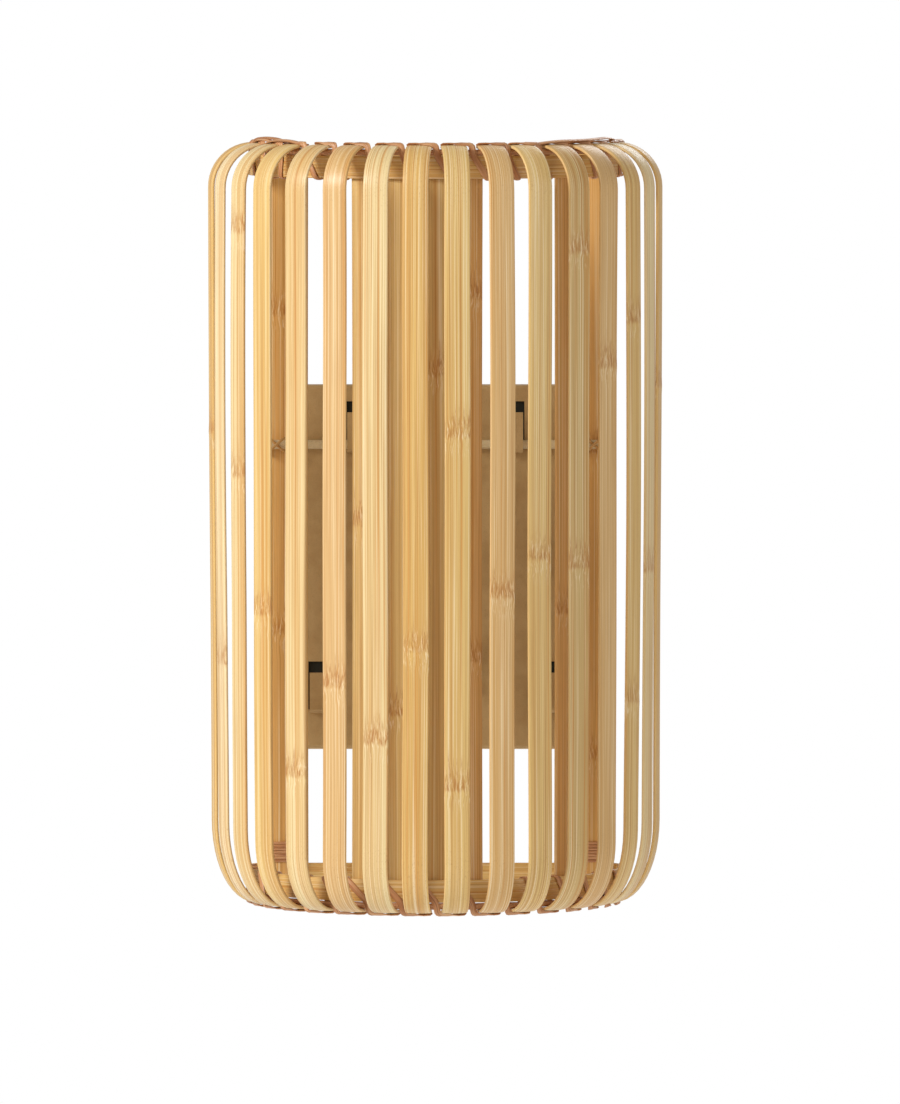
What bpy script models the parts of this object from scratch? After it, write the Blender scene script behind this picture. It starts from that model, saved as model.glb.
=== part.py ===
"""A wall light with a half-round shade of bent bamboo slats, hung by a rod on a sheet-metal back plate.

Metres, +Z up, +X to the right. The wall is the plane y = 0, and the light stands out from it along -Y.
The origin is the middle of the wall bracket's back face.
"""

from math import atan2, cos, pi, radians, sin, sqrt

import bmesh
import bpy
from mathutils import Matrix, Vector

# The clearance that touching pieces keep.
FIT = 0.0003

# The shade.
SHADE_WIDTH = 0.200
SHADE_HEIGHT = 0.332
SHADE_BACK_DEPTH = 0.020
SHADE_RAISE = 0.021
SHADE_TO_WALL = 0.0005
SLAT_COUNT = 16
SLAT_SPREAD = radians(160.5)
SLAT_WIDTH = 0.0108
SLAT_THICKNESS = 0.0016
SLAT_BEND_RADIUS = 0.0195
SLAT_REACH = 0.003
HOOP_INSET = 0.018
BAND_HEIGHT = 0.0098
BAND_THICKNESS = 0.002
HOOP_CORNER_RADIUS = 0.008
CORE_DIAMETER = 0.0026
CORE_SPREAD = radians(172)
CANE_DIAMETER = 0.0011
INNER_SLAT_ANGLES = [radians(angle) for angle in (-48.5, -23, -11.8, 0, 11.1, 45.3)]
POST_WIDTH = 0.011
POST_INSET = 0.007
WRAP_TURNS = 7
WRAP_PITCH = 0.0013

# The rod that hangs the shade, and the wire that lashes it to the posts.
ROD_DIAMETER = 0.004
ROD_HEIGHT = 0.054
ROD_OVERHANG = 0.0012
LASHING_DIAMETER = 0.0012

# The back plate, its hooks and the bracket behind it.
PLATE_HEIGHT = 0.160
PLATE_DEPTH = 0.008
PLATE_TO_POSTS = 0.004
PLATE_EDGE_RADIUS = 0.0016
SHEET = 0.0012
HOOK_WIDTH = 0.007
HOOK_HEIGHT = 0.0165
HOOK_SLACK = 0.0008
HOOK_BEND_RADIUS = 0.002
HOOK_WINDOW_MARGIN = 0.0006
HOOK_WINDOW_ABOVE = 0.0046
UPPER_HOOK_SPACING = 0.070
LOWER_HOOK_SPACING = 0.103
LOWER_HOOK_LEDGE = -0.0625
BRACKET_WIDTH = 0.018
BRACKET_HEIGHT = 0.150
BRACKET_THICKNESS = 0.0015
WALL_HOLE_SPACING = 0.050
WALL_HOLE_DIAMETER = 0.005
PLATE_SCREW_SPACING = 0.085
SCREW_DIAMETER = 0.0038
SCREW_HEAD_DIAMETER = 0.007
SCREW_HEAD_HEIGHT = 0.0024
SCREW_SLOT_WIDTH = 0.001
SCREW_CLEARANCE = 0.0006
SPACER_DIAMETER = 0.008

# The wiring.
GROMMET_X = -0.026
GROMMET_Z = -0.022
GROMMET_DIAMETER = 0.014
GROMMET_NECK_DIAMETER = 0.010
GROMMET_BORE = 0.007
GROMMET_LIP = 0.0015
BLOCK_X = -0.004
BLOCK_Z = -0.030
BLOCK_WIDTH = 0.027
BLOCK_HEIGHT = 0.012
BLOCK_DEPTH = 0.013
BLOCK_POLES = 3
BLOCK_PORT_DIAMETER = 0.0036
BLOCK_PORT_DEPTH = 0.004
WIRE_DIAMETER = 0.002
WIRE_DROP = 0.016
WIRE_RUN_IN = 0.014
EARTH_WIRE_DROP = 0.008
EARTH_X = 0.0155
EARTH_Z = -0.052

# The arm, the lampholder and the lamp.
LAMP_FROM_WALL = 0.052
ARM_WIDTH = 0.018
ARM_SHEET = 0.0015
ARM_SHELF = -0.072
ARM_LEG = 0.024
ARM_BEND_RADIUS = 0.003
ARM_OVERHANG = 0.011
RIVET_SPACING = 0.009
RIVET_RAISE = 0.0144
RIVET_DIAMETER = 0.003
RIVET_HEAD_DIAMETER = 0.0054
RIVET_HEAD_HEIGHT = 0.0014
HOLDER_DIAMETER = 0.026
HOLDER_BASE_HEIGHT = 0.014
HOLDER_SHELL_HEIGHT = 0.027
HOLDER_RIM = 0.0012
NIPPLE_DIAMETER = 0.0096
NIPPLE_LENGTH = 0.0085
NUT_WIDTH = 0.014
NUT_HEIGHT = 0.004
CONTACT_DIAMETER = 0.006
CONTACT_HEIGHT = 0.003
CAP_DIAMETER = 0.014
CAP_LENGTH = 0.021
CAP_TIP_DIAMETER = 0.0045
CAP_TIP_HEIGHT = 0.0015
CAP_COLLAR_DIAMETER = 0.0175
CAP_COLLAR_HEIGHT = 0.003
INSERT_WALL = 0.0009
LAMP_DIAMETER = 0.028
LAMP_LENGTH = 0.096
LAMP_GLASS_WALL = 0.001
LAMP_SHOULDER = 0.009

# What follows from them.
OUTER_RADIUS = SHADE_WIDTH / 2
SHADE_MIDDLE_Y = -SHADE_BACK_DEPTH
HALF_HEIGHT = SHADE_HEIGHT / 2
HOOP_RADIUS = OUTER_RADIUS - HOOP_INSET
BAND_INNER_RADIUS = HOOP_RADIUS - BAND_THICKNESS
SLAT_PITCH = SLAT_SPREAD / (SLAT_COUNT - 1)
SLAT_ANGLES = [(index - (SLAT_COUNT - 1) / 2) * SLAT_PITCH for index in range(SLAT_COUNT)]
CORE_RADIUS = CORE_DIAMETER / 2
CORE_HEIGHT = HALF_HEIGHT - SLAT_THICKNESS - FIT - CORE_RADIUS
BAND_TOP = CORE_HEIGHT - CORE_RADIUS - FIT
BAND_BOTTOM = BAND_TOP - BAND_HEIGHT
CANE_RADIUS = CANE_DIAMETER / 2
CANE_OFFSET = FIT + CANE_RADIUS
LACING_BEHIND = 0.05 * SLAT_PITCH
LACING_LEAN = 0.09 * SLAT_PITCH
LACING_OVER = 0.43 * SLAT_PITCH
LACING_DOWN = 0.48 * SLAT_PITCH
ROD_RADIUS = ROD_DIAMETER / 2
ROD_Y = -(PLATE_DEPTH + HOOK_SLACK / 2 + ROD_RADIUS)
HOOK_POCKET = ROD_DIAMETER + HOOK_SLACK
POST_X = HOOP_RADIUS - POST_INSET - POST_WIDTH / 2
POST_BACK_Y = -(SHADE_TO_WALL + BAND_THICKNESS + FIT)
POST_FRONT_Y = ROD_Y + ROD_RADIUS + FIT
PLATE_WIDTH = 2 * (POST_X - POST_WIDTH / 2 - PLATE_TO_POSTS)
BASE_BOTTOM = ARM_SHELF + FIT
BASE_TOP = BASE_BOTTOM + HOLDER_BASE_HEIGHT
SHELL_TOP = BASE_TOP + FIT + HOLDER_SHELL_HEIGHT
CONTACT_TOP = BASE_TOP + FIT + CONTACT_HEIGHT
TIP_TOP = CONTACT_TOP + FIT + CAP_TIP_HEIGHT
CAP_BOTTOM = TIP_TOP + FIT
CAP_TOP = CAP_BOTTOM + CAP_LENGTH + CAP_COLLAR_HEIGHT
INSERT_INNER_RADIUS = CAP_DIAMETER / 2 + FIT
INSERT_OUTER_RADIUS = INSERT_INNER_RADIUS + INSERT_WALL
LAMP_BOTTOM = CAP_TOP + FIT

RIVET_HEIGHT = ARM_SHELF + RIVET_RAISE

FINE_STEPS = 24
SMALL_STEPS = 14
BEND_STEPS = 6
HOOP_STEPS = 40

parts = None
cutters = None


def clear_scene():
    for obj in list(bpy.data.objects):
        bpy.data.objects.remove(obj)


def collection(name):
    made = bpy.data.collections.new(name)
    bpy.context.scene.collection.children.link(made)
    return made


def finish(name, colour, roughness, metallic=0.0):
    material = bpy.data.materials.new(name)
    material.use_nodes = True
    shader = material.node_tree.nodes["Principled BSDF"]
    shader.inputs["Base Color"].default_value = (*colour, 1)
    shader.inputs["Roughness"].default_value = roughness
    shader.inputs["Metallic"].default_value = metallic
    return material


def axis_at(name, location):
    """An empty on a joint's axis, which its moving pieces hang from."""
    empty = bpy.data.objects.new(name, None)
    empty.location = location
    parts.objects.link(empty)
    bpy.context.view_layer.update()
    return empty


def place(name, data, matrix, material, parent):
    obj = bpy.data.objects.new(name, data)
    parts.objects.link(obj)
    if material:
        data.materials.clear()
        data.materials.append(material)
    if parent:
        obj.parent = parent
    obj.matrix_world = matrix
    return obj


def block(name, low, high, material, parent=None):
    """A box between two corners."""
    low, high = Vector(low), Vector(high)
    mesh = bpy.data.meshes.new(name)
    shape = bmesh.new()
    bmesh.ops.create_cube(shape, size=1, matrix=Matrix.Diagonal((*(high - low), 1)))
    shape.to_mesh(mesh)
    shape.free()
    return place(name, mesh, Matrix.Translation((low + high) / 2), material, parent)


def turned(name, profile, matrix, material, parent=None, steps=SMALL_STEPS, ring=False):
    """A profile of (radius, height) points, from its top down the outer side, turned about local Z."""
    mesh = bpy.data.meshes.new(name)
    count = len(profile)
    edges = [(index, index + 1) for index in range(count - 1)]
    if ring:
        edges.append((count - 1, 0))
    mesh.from_pydata([(radius, 0, height) for radius, height in profile], edges, [])
    obj = place(name, mesh, matrix, material, parent)
    screw = obj.modifiers.new("turning", "SCREW")
    screw.steps = steps
    screw.render_steps = steps
    screw.use_smooth_shade = True
    screw.use_merge_vertices = True
    screw.merge_threshold = 0.00001
    return obj


def tube(name, points, diameter, material, parent=None, closed=False, roundness=2):
    """A round rod, wire or cane along a list of points."""
    curve = bpy.data.curves.new(name, "CURVE")
    curve.dimensions = "3D"
    curve.bevel_depth = diameter / 2
    curve.bevel_resolution = roundness
    curve.use_fill_caps = not closed
    line = curve.splines.new("POLY")
    line.points.add(len(points) - 1)
    for knot, point in zip(line.points, points):
        knot.co = (*point, 1)
    line.use_cyclic_u = closed
    line.use_smooth = True
    return place(name, curve, Matrix.Identity(4), material, parent)


def flat(name, loops, thickness, matrix, material, parent=None):
    """Closed outlines in local XY, filled between the outer and the inner ones, as thick as a sheet."""
    curve = bpy.data.curves.new(name, "CURVE")
    curve.dimensions = "2D"
    curve.fill_mode = "BOTH"
    curve.extrude = thickness / 2
    for loop in loops:
        line = curve.splines.new("POLY")
        line.points.add(len(loop) - 1)
        for knot, point in zip(line.points, loop):
            knot.co = (*point, 0, 1)
        line.use_cyclic_u = True
    return place(name, curve, matrix, material, parent)


def as_mesh(obj):
    """The object made into a plain mesh of one welded skin, so that a Boolean can cut it."""
    bpy.context.view_layer.update()
    graph = bpy.context.evaluated_depsgraph_get()
    mesh = bpy.data.meshes.new_from_object(obj.evaluated_get(graph))
    shape = bmesh.new()
    shape.from_mesh(mesh)
    bmesh.ops.remove_doubles(shape, verts=shape.verts, dist=0.000001)
    bmesh.ops.recalc_face_normals(shape, faces=shape.faces)
    shape.to_mesh(mesh)
    shape.free()
    name, matrix, parent = obj.name, obj.matrix_world.copy(), obj.parent
    material = obj.data.materials[0] if obj.data.materials else None
    bpy.data.objects.remove(obj)
    return place(name, mesh, matrix, material, parent)


def as_tool(obj):
    """The object made into a helper, which shapes others and isn't a piece itself."""
    obj.hide_render = True
    obj.display_type = "WIRE"
    parts.objects.unlink(obj)
    cutters.objects.link(obj)
    return obj


def shape_with(obj, tool, operation):
    boolean = obj.modifiers.new(tool.name, "BOOLEAN")
    boolean.operation = operation
    boolean.object = tool


def drill(obj, name, x, z, diameter, low_y, high_y):
    """A round hole through the object along Y."""
    radius = diameter / 2
    rod = [(0, -low_y), (radius, -low_y), (radius, -high_y), (0, -high_y)]
    cutter = as_tool(turned(name, rod, facing_out(x, 0, z), None))
    shape_with(obj, cutter, "DIFFERENCE")


def arc(centre, radius, start, end, steps):
    """Points on a circle, from one angle to another, both included."""
    angles = [start + (end - start) * step / steps for step in range(steps + 1)]
    return [(centre[0] + radius * cos(angle), centre[1] + radius * sin(angle)) for angle in angles]


def facing_out(x, y, z):
    """Local Z points away from the wall, local X to the right, and local Y up."""
    return Matrix.Translation((x, y, z)) @ Matrix.Rotation(pi / 2, 4, "X")


def upright_plane(x, y, z, turn):
    """Local Y points up, and local X points away from the wall, turned to the right by the angle given."""
    upright = Matrix.Rotation(turn - pi / 2, 4, "Z") @ Matrix.Rotation(pi / 2, 4, "X")
    return Matrix.Translation((x, y, z)) @ upright


def shade_point(angle, radius, height):
    """A place in the shade: an angle from straight ahead, a distance from its middle line, and a height."""
    return (radius * sin(angle), SHADE_MIDDLE_Y - radius * cos(angle), SHADE_RAISE + height)


def bent_slat_outline():
    """A front slat's side view: its ends bend in over the hoops. X is the distance from the middle line."""
    bend_x = OUTER_RADIUS - SLAT_BEND_RADIUS
    bend_y = HALF_HEIGHT - SLAT_BEND_RADIUS
    tip = HOOP_RADIUS - SLAT_REACH
    inner_bend = SLAT_BEND_RADIUS - SLAT_THICKNESS
    outside = [(tip, HALF_HEIGHT)]
    outside += arc((bend_x, bend_y), SLAT_BEND_RADIUS, pi / 2, 0, BEND_STEPS)
    outside += arc((bend_x, -bend_y), SLAT_BEND_RADIUS, 0, -pi / 2, BEND_STEPS)
    outside += [(tip, -HALF_HEIGHT)]
    inside = [(tip, -HALF_HEIGHT + SLAT_THICKNESS)]
    inside += arc((bend_x, -bend_y), inner_bend, -pi / 2, 0, BEND_STEPS)
    inside += arc((bend_x, bend_y), inner_bend, 0, pi / 2, BEND_STEPS)
    inside += [(tip, HALF_HEIGHT - SLAT_THICKNESS)]
    return outside + inside


def hoop_outline(inset):
    """The hoop from above: half a circle in front, and a straight back with rounded corners."""
    radius = HOOP_RADIUS - inset
    corner = HOOP_CORNER_RADIUS - inset
    corner_y = -SHADE_TO_WALL - HOOP_CORNER_RADIUS
    side = radius - corner
    front = arc((0, SHADE_MIDDLE_Y), radius, -pi, 0, HOOP_STEPS)
    right = arc((side, corner_y), corner, 0, pi / 2, BEND_STEPS)
    left = arc((-side, corner_y), corner, pi / 2, pi, BEND_STEPS)
    return front + right + left


def inner_slat_distance():
    """How far an inner slat's outer face lies from the middle line, so that its edges clear the band."""
    return sqrt((BAND_INNER_RADIUS - FIT) ** 2 - (SLAT_WIDTH / 2) ** 2)


def clear_of_inner_slats(angle, side):
    """The angle nearest to the one given at which the cane can pass down beside the inner slats."""
    reach = atan2(SLAT_WIDTH / 2 + 2 * CANE_OFFSET, BAND_INNER_RADIUS)
    for inner in INNER_SLAT_ANGLES:
        low, high = side * inner - reach, side * inner + reach + LACING_LEAN
        if low < angle < high:
            return low if angle - low < SLAT_PITCH / 2 else high
    return angle


def lacing_path(side):
    """The cane's path round one hoop: over each slat's end, down across the band, and up behind it.

    side is 1 for the top hoop and -1 for the bottom one, which is the top one turned half round.
    """
    outside = max(HOOP_RADIUS, HOOP_RADIUS - BAND_THICKNESS / 2 + CORE_RADIUS) + CANE_OFFSET
    inside = HOOP_RADIUS - SLAT_REACH - CANE_OFFSET
    over = HALF_HEIGHT + CANE_OFFSET
    under = BAND_BOTTOM - CANE_OFFSET
    behind = [clear_of_inner_slats(angle - LACING_BEHIND, side) for angle in SLAT_ANGLES]
    behind.append(SLAT_ANGLES[-1] + SLAT_PITCH - LACING_BEHIND)
    points = [(behind[0] - LACING_LEAN / 2, inside, under)]
    for number, angle in enumerate(SLAT_ANGLES):
        points += [
            (behind[number], inside, over),
            (angle + LACING_OVER, outside, over),
            (angle + LACING_DOWN, outside, BAND_TOP + CORE_RADIUS),
            (behind[number + 1] - LACING_LEAN, outside, under),
            (behind[number + 1] - LACING_LEAN / 2, inside, under),
        ]
    return [shade_point(side * angle, radius, side * height) for angle, radius, height in points]


def make_shade(bamboo, cane, steel):
    """Every piece that lifts off the hooks together, hung from the rod's axis."""
    hanger = axis_at("shade_axis", (0, ROD_Y, ROD_HEIGHT))
    for number, angle in enumerate(SLAT_ANGLES, 1):
        frame = upright_plane(0, SHADE_MIDDLE_Y, SHADE_RAISE, angle)
        flat(f"front_slat_{number:02d}", [bent_slat_outline()], SLAT_WIDTH, frame, bamboo, hanger)
    for number, angle in enumerate(INNER_SLAT_ANGLES, 1):
        face = inner_slat_distance()
        strip = block(
            f"inner_slat_{number:02d}",
            (-SLAT_WIDTH / 2, -face, -BAND_TOP),
            (SLAT_WIDTH / 2, SLAT_THICKNESS - face, BAND_TOP),
            bamboo,
            hanger,
        )
        turn = Matrix.Translation((0, SHADE_MIDDLE_Y, SHADE_RAISE)) @ Matrix.Rotation(angle, 4, "Z")
        strip.matrix_world = turn @ strip.matrix_world
    for where, side in (("top", 1), ("bottom", -1)):
        middle = SHADE_RAISE + side * (BAND_TOP + BAND_BOTTOM) / 2
        loops = [hoop_outline(0), hoop_outline(BAND_THICKNESS)]
        flat(f"hoop_band_{where}", loops, BAND_HEIGHT, Matrix.Translation((0, 0, middle)), bamboo, hanger)
        core_middle = HOOP_RADIUS - BAND_THICKNESS / 2
        turns = [CORE_SPREAD * (step / HOOP_STEPS - 0.5) for step in range(HOOP_STEPS + 1)]
        core = [shade_point(angle, core_middle, side * CORE_HEIGHT) for angle in turns]
        tube(f"rim_core_{where}", core, CORE_DIAMETER, cane, hanger)
        tube(f"lacing_{where}", lacing_path(side), CANE_DIAMETER, cane, hanger, roundness=1)
    for where, side in (("left", -1), ("right", 1)):
        make_post(where, side, bamboo, cane, steel, hanger)
    end = POST_X + POST_WIDTH / 2 + 2 * LASHING_DIAMETER + ROD_OVERHANG
    rod = [(-end, ROD_Y, ROD_HEIGHT), (end, ROD_Y, ROD_HEIGHT)]
    tube("hanging_rod", rod, ROD_DIAMETER, steel, hanger, roundness=4)


def make_post(where, side, bamboo, cane, steel, hanger):
    """A rear post, the cane wound round its foot, and the wire that lashes the rod to it."""
    x = side * POST_X
    half = POST_WIDTH / 2
    low, high = SHADE_RAISE - BAND_TOP, SHADE_RAISE + BAND_TOP
    block(f"rear_post_{where}", (x - half, POST_FRONT_Y, low), (x + half, POST_BACK_Y, high), bamboo, hanger)

    aside = half + CANE_OFFSET
    corners = [
        (x - aside, POST_BACK_Y + CANE_OFFSET),
        (x - aside, POST_FRONT_Y - CANE_OFFSET),
        (x + aside, POST_FRONT_Y - CANE_OFFSET),
        (x + aside, POST_BACK_Y + CANE_OFFSET),
    ]
    foot = SHADE_RAISE - BAND_BOTTOM + CANE_OFFSET
    wound = []
    for step in range(4 * WRAP_TURNS + 1):
        wound.append((*corners[step % 4], foot + WRAP_PITCH * step / 4))
    tube(f"post_wrap_{where}", wound, CANE_DIAMETER, cane, hanger, roundness=1)

    wire = LASHING_DIAMETER / 2 + FIT
    beside = half + wire
    above = ROD_RADIUS + wire
    back = POST_BACK_Y + wire
    front = ROD_Y - ROD_RADIUS - wire
    crossing = front - LASHING_DIAMETER - FIT
    path = [
        (-beside, POST_FRONT_Y, above),
        (-beside / 2, front, above),
        (0, front, 0),
        (beside / 2, front, -above),
        (beside, POST_FRONT_Y, -above),
        (beside, back, -above),
        (-beside, back, -above),
        (-beside, POST_FRONT_Y, -above),
        (-beside / 2, crossing, -above),
        (0, crossing, 0),
        (beside / 2, crossing, above),
        (beside, POST_FRONT_Y, above),
        (beside, back, above),
        (-beside, back, above),
    ]
    points = [(x + px, py, ROD_HEIGHT + pz) for px, py, pz in path]
    tube(f"rod_lashing_{where}", points, LASHING_DIAMETER, steel, hanger, closed=True, roundness=1)


def hook_outline():
    """A hook's side view, from the plate's sheet forward and up. X is the distance in front of the plate."""
    root = -SHEET / 2
    front = HOOK_POCKET + SHEET
    bend = HOOK_BEND_RADIUS
    inner = bend - SHEET
    under = arc((front - bend, bend - SHEET), bend, -pi / 2, 0, BEND_STEPS)
    pocket = arc((front - bend, bend - SHEET), inner, 0, -pi / 2, BEND_STEPS)
    lip = [(front, HOOK_HEIGHT), (HOOK_POCKET, HOOK_HEIGHT)]
    return [(root, -SHEET)] + under + lip + pocket + [(root, 0)]


def make_plate(painted):
    """The tray that stands over the bracket, with two hooks near its top and two spare ones lower down."""
    half_width, half_height = PLATE_WIDTH / 2, PLATE_HEIGHT / 2
    plate = block(
        "wall_plate",
        (-half_width, -PLATE_DEPTH, -half_height),
        (half_width, -FIT, half_height),
        painted,
    )
    shape = bmesh.new()
    shape.from_mesh(plate.data)
    open_side = [face for face in shape.faces if face.normal.y > 0.5]
    bmesh.ops.delete(shape, geom=open_side, context="FACES")
    folds = [edge for edge in shape.edges if not edge.is_boundary]
    bmesh.ops.bevel(shape, geom=folds, offset=PLATE_EDGE_RADIUS, segments=2, profile=0.5, affect="EDGES")
    shape.to_mesh(plate.data)
    shape.free()
    sheet = plate.modifiers.new("sheet", "SOLIDIFY")
    sheet.thickness = SHEET
    sheet.offset = -1

    upper = ROD_HEIGHT - ROD_RADIUS - FIT
    hooks = [("upper", UPPER_HOOK_SPACING / 2, upper), ("lower", LOWER_HOOK_SPACING / 2, LOWER_HOOK_LEDGE)]
    for level, x, ledge in hooks:
        for where, side in (("left", -1), ("right", 1)):
            middle = side * x
            aside = HOOK_WIDTH / 2 + HOOK_WINDOW_MARGIN
            window = block(
                f"{level}_window_{where}",
                (middle - aside, -PLATE_DEPTH - SHEET, ledge),
                (middle + aside, -PLATE_DEPTH + 2 * SHEET, ledge + HOOK_HEIGHT + HOOK_WINDOW_ABOVE),
                None,
            )
            shape_with(plate, as_tool(window), "DIFFERENCE")
            frame = upright_plane(middle, -PLATE_DEPTH, ledge, 0)
            hook = as_mesh(flat(f"{level}_hook_{where}", [hook_outline()], HOOK_WIDTH, frame, None))
            shape_with(plate, as_tool(hook), "UNION")

    through = (-PLATE_DEPTH - SHEET, -PLATE_DEPTH + 2 * SHEET)
    screw_hole = SCREW_DIAMETER + 2 * SCREW_CLEARANCE
    rivet_hole = RIVET_DIAMETER + 2 * FIT
    drill(plate, "top_screw_hole", 0, PLATE_SCREW_SPACING / 2, screw_hole, *through)
    drill(plate, "bottom_screw_hole", 0, -PLATE_SCREW_SPACING / 2, screw_hole, *through)
    drill(plate, "grommet_hole", GROMMET_X, GROMMET_Z, GROMMET_NECK_DIAMETER + 2 * FIT, *through)
    drill(plate, "earth_hole", EARTH_X, EARTH_Z, screw_hole, *through)
    for where, side in (("left", -1), ("right", 1)):
        drill(plate, f"rivet_hole_{where}", side * RIVET_SPACING / 2, RIVET_HEIGHT, rivet_hole, *through)


def slotted_screw(name, x, z, shank, material):
    """A pan-head screw whose head rests on the plate and whose shank runs back towards the wall."""
    y, head = -PLATE_DEPTH - FIT, SCREW_HEAD_HEIGHT
    radius, head_radius = SCREW_DIAMETER / 2, SCREW_HEAD_DIAMETER / 2
    profile = [
        (0, head),
        (head_radius * 0.7, head),
        (head_radius, head * 0.6),
        (head_radius, 0),
        (radius, 0),
        (radius, -shank),
        (0, -shank),
    ]
    screw = turned(name, profile, facing_out(x, y, z), material)
    half = SCREW_SLOT_WIDTH / 2
    slot = block(
        name + "_slot",
        (x - SCREW_HEAD_DIAMETER, y - head - half, z - half),
        (x + SCREW_HEAD_DIAMETER, y - head / 2, z + half),
        None,
    )
    shape_with(screw, as_tool(slot), "DIFFERENCE")


def make_bracket(steel):
    """The bar screwed to the wall, the spacers on it and the screws that hold the plate to them."""
    half_width, half_height = BRACKET_WIDTH / 2, BRACKET_HEIGHT / 2
    low = (-half_width, -BRACKET_THICKNESS, -half_height)
    bracket = block("wall_bracket", low, (half_width, 0, half_height), steel)
    through = (-2 * BRACKET_THICKNESS, BRACKET_THICKNESS)
    tapping = SCREW_DIAMETER + 2 * FIT
    spacer_back = -BRACKET_THICKNESS - FIT
    spacer_length = PLATE_DEPTH - SHEET - FIT + spacer_back
    bore = tapping / 2
    outer = SPACER_DIAMETER / 2
    ring = [(outer, spacer_length), (outer, 0), (bore, 0), (bore, spacer_length)]
    for where, side in (("top", 1), ("bottom", -1)):
        height = side * PLATE_SCREW_SPACING / 2
        drill(bracket, f"wall_hole_{where}", 0, side * WALL_HOLE_SPACING / 2, WALL_HOLE_DIAMETER, *through)
        drill(bracket, f"tapped_hole_{where}", 0, height, tapping, *through)
        turned(f"plate_spacer_{where}", ring, facing_out(0, spacer_back, height), steel, ring=True)
        slotted_screw(f"plate_screw_{where}", 0, height, PLATE_DEPTH - 2 * FIT, steel)


def make_arm(painted, steel):
    """The bent strip that holds the lampholder out from the plate, riveted on."""
    reach = LAMP_FROM_WALL - PLATE_DEPTH + ARM_OVERHANG
    back, front = FIT, FIT + ARM_SHEET
    bend = ARM_BEND_RADIUS
    inner = bend - ARM_SHEET
    outline = [(back, ARM_LEG)]
    outline += arc((back + bend, bend - ARM_SHEET), bend, pi, 1.5 * pi, BEND_STEPS)
    outline += [(reach, -ARM_SHEET), (reach, 0)]
    outline += arc((back + bend, bend - ARM_SHEET), inner, 1.5 * pi, pi, BEND_STEPS)
    outline += [(front, ARM_LEG)]
    frame = upright_plane(0, -PLATE_DEPTH, ARM_SHELF, 0)
    arm = as_mesh(flat("lamp_arm", [outline], ARM_WIDTH, frame, painted))
    radius = NIPPLE_DIAMETER / 2 + FIT
    top, bottom = ARM_SHELF + ARM_SHEET, ARM_SHELF - 2 * ARM_SHEET
    hole = [(0, top), (radius, top), (radius, bottom), (0, bottom)]
    cutter = as_tool(turned("nipple_hole", hole, Matrix.Translation((0, -LAMP_FROM_WALL, 0)), None))
    shape_with(arm, cutter, "DIFFERENCE")
    arm_front = -PLATE_DEPTH - FIT - ARM_SHEET
    head_radius, shank_radius = RIVET_HEAD_DIAMETER / 2, RIVET_DIAMETER / 2
    grip = FIT + ARM_SHEET + FIT + SHEET + FIT
    rivet = [
        (0, RIVET_HEAD_HEIGHT),
        (head_radius * 0.6, RIVET_HEAD_HEIGHT * 0.8),
        (head_radius, 0),
        (shank_radius, 0),
        (shank_radius, -grip),
        (head_radius * 0.8, -grip),
        (head_radius * 0.5, -grip - RIVET_HEAD_HEIGHT * 0.7),
        (0, -grip - RIVET_HEAD_HEIGHT * 0.7),
    ]
    for where, side in (("left", -1), ("right", 1)):
        x = side * RIVET_SPACING / 2
        drill(arm, f"arm_hole_{where}", x, RIVET_HEIGHT, RIVET_DIAMETER + 2 * FIT, 2 * arm_front, 0)
        turned(f"arm_rivet_{where}", rivet, facing_out(x, arm_front - FIT, RIVET_HEIGHT), steel)


def make_holder(white, brass, steel):
    """The lampholder: its base with a hollow nipple below, the nut, the shell, the insert and the contact."""
    axis = Matrix.Translation((0, -LAMP_FROM_WALL, 0))
    radius, neck = HOLDER_DIAMETER / 2, NIPPLE_DIAMETER / 2
    low = BASE_BOTTOM - NIPPLE_LENGTH
    base = [
        (0, BASE_TOP),
        (radius, BASE_TOP),
        (radius, BASE_BOTTOM + HOLDER_RIM),
        (radius - HOLDER_RIM, BASE_BOTTOM),
        (neck, BASE_BOTTOM),
        (neck, low),
        (0, low),
    ]
    turned("holder_base", base, axis, white, steps=FINE_STEPS)

    bore = INSERT_OUTER_RADIUS + FIT
    shell = [
        (radius - HOLDER_RIM, SHELL_TOP),
        (radius, SHELL_TOP - HOLDER_RIM),
        (radius, BASE_TOP + FIT),
        (bore, BASE_TOP + FIT),
        (bore, SHELL_TOP),
    ]
    turned("holder_shell", shell, axis, white, steps=FINE_STEPS, ring=True)

    top, bottom = SHELL_TOP - HOLDER_RIM, CONTACT_TOP
    insert = [
        (INSERT_OUTER_RADIUS, top),
        (INSERT_OUTER_RADIUS, bottom),
        (INSERT_INNER_RADIUS, bottom),
        (INSERT_INNER_RADIUS, top),
    ]
    turned("holder_insert", insert, axis, brass, steps=FINE_STEPS, ring=True)

    button, foot = CONTACT_DIAMETER / 2, BASE_TOP + FIT
    contact = [(0, CONTACT_TOP), (button * 0.5, CONTACT_TOP), (button, foot), (0, foot)]
    turned("holder_contact", contact, axis, brass)

    nut_top = ARM_SHELF - ARM_SHEET - FIT
    corner, hole = NUT_WIDTH / sqrt(3), neck + FIT
    hexagon = arc((0, 0), corner, 0, radians(300), 5)
    ring = arc((0, 0), hole, 0, radians(340), 17)
    seat = Matrix.Translation((0, -LAMP_FROM_WALL, nut_top - NUT_HEIGHT / 2))
    flat("holder_nut", [hexagon, ring], NUT_HEIGHT, seat, steel)


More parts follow.
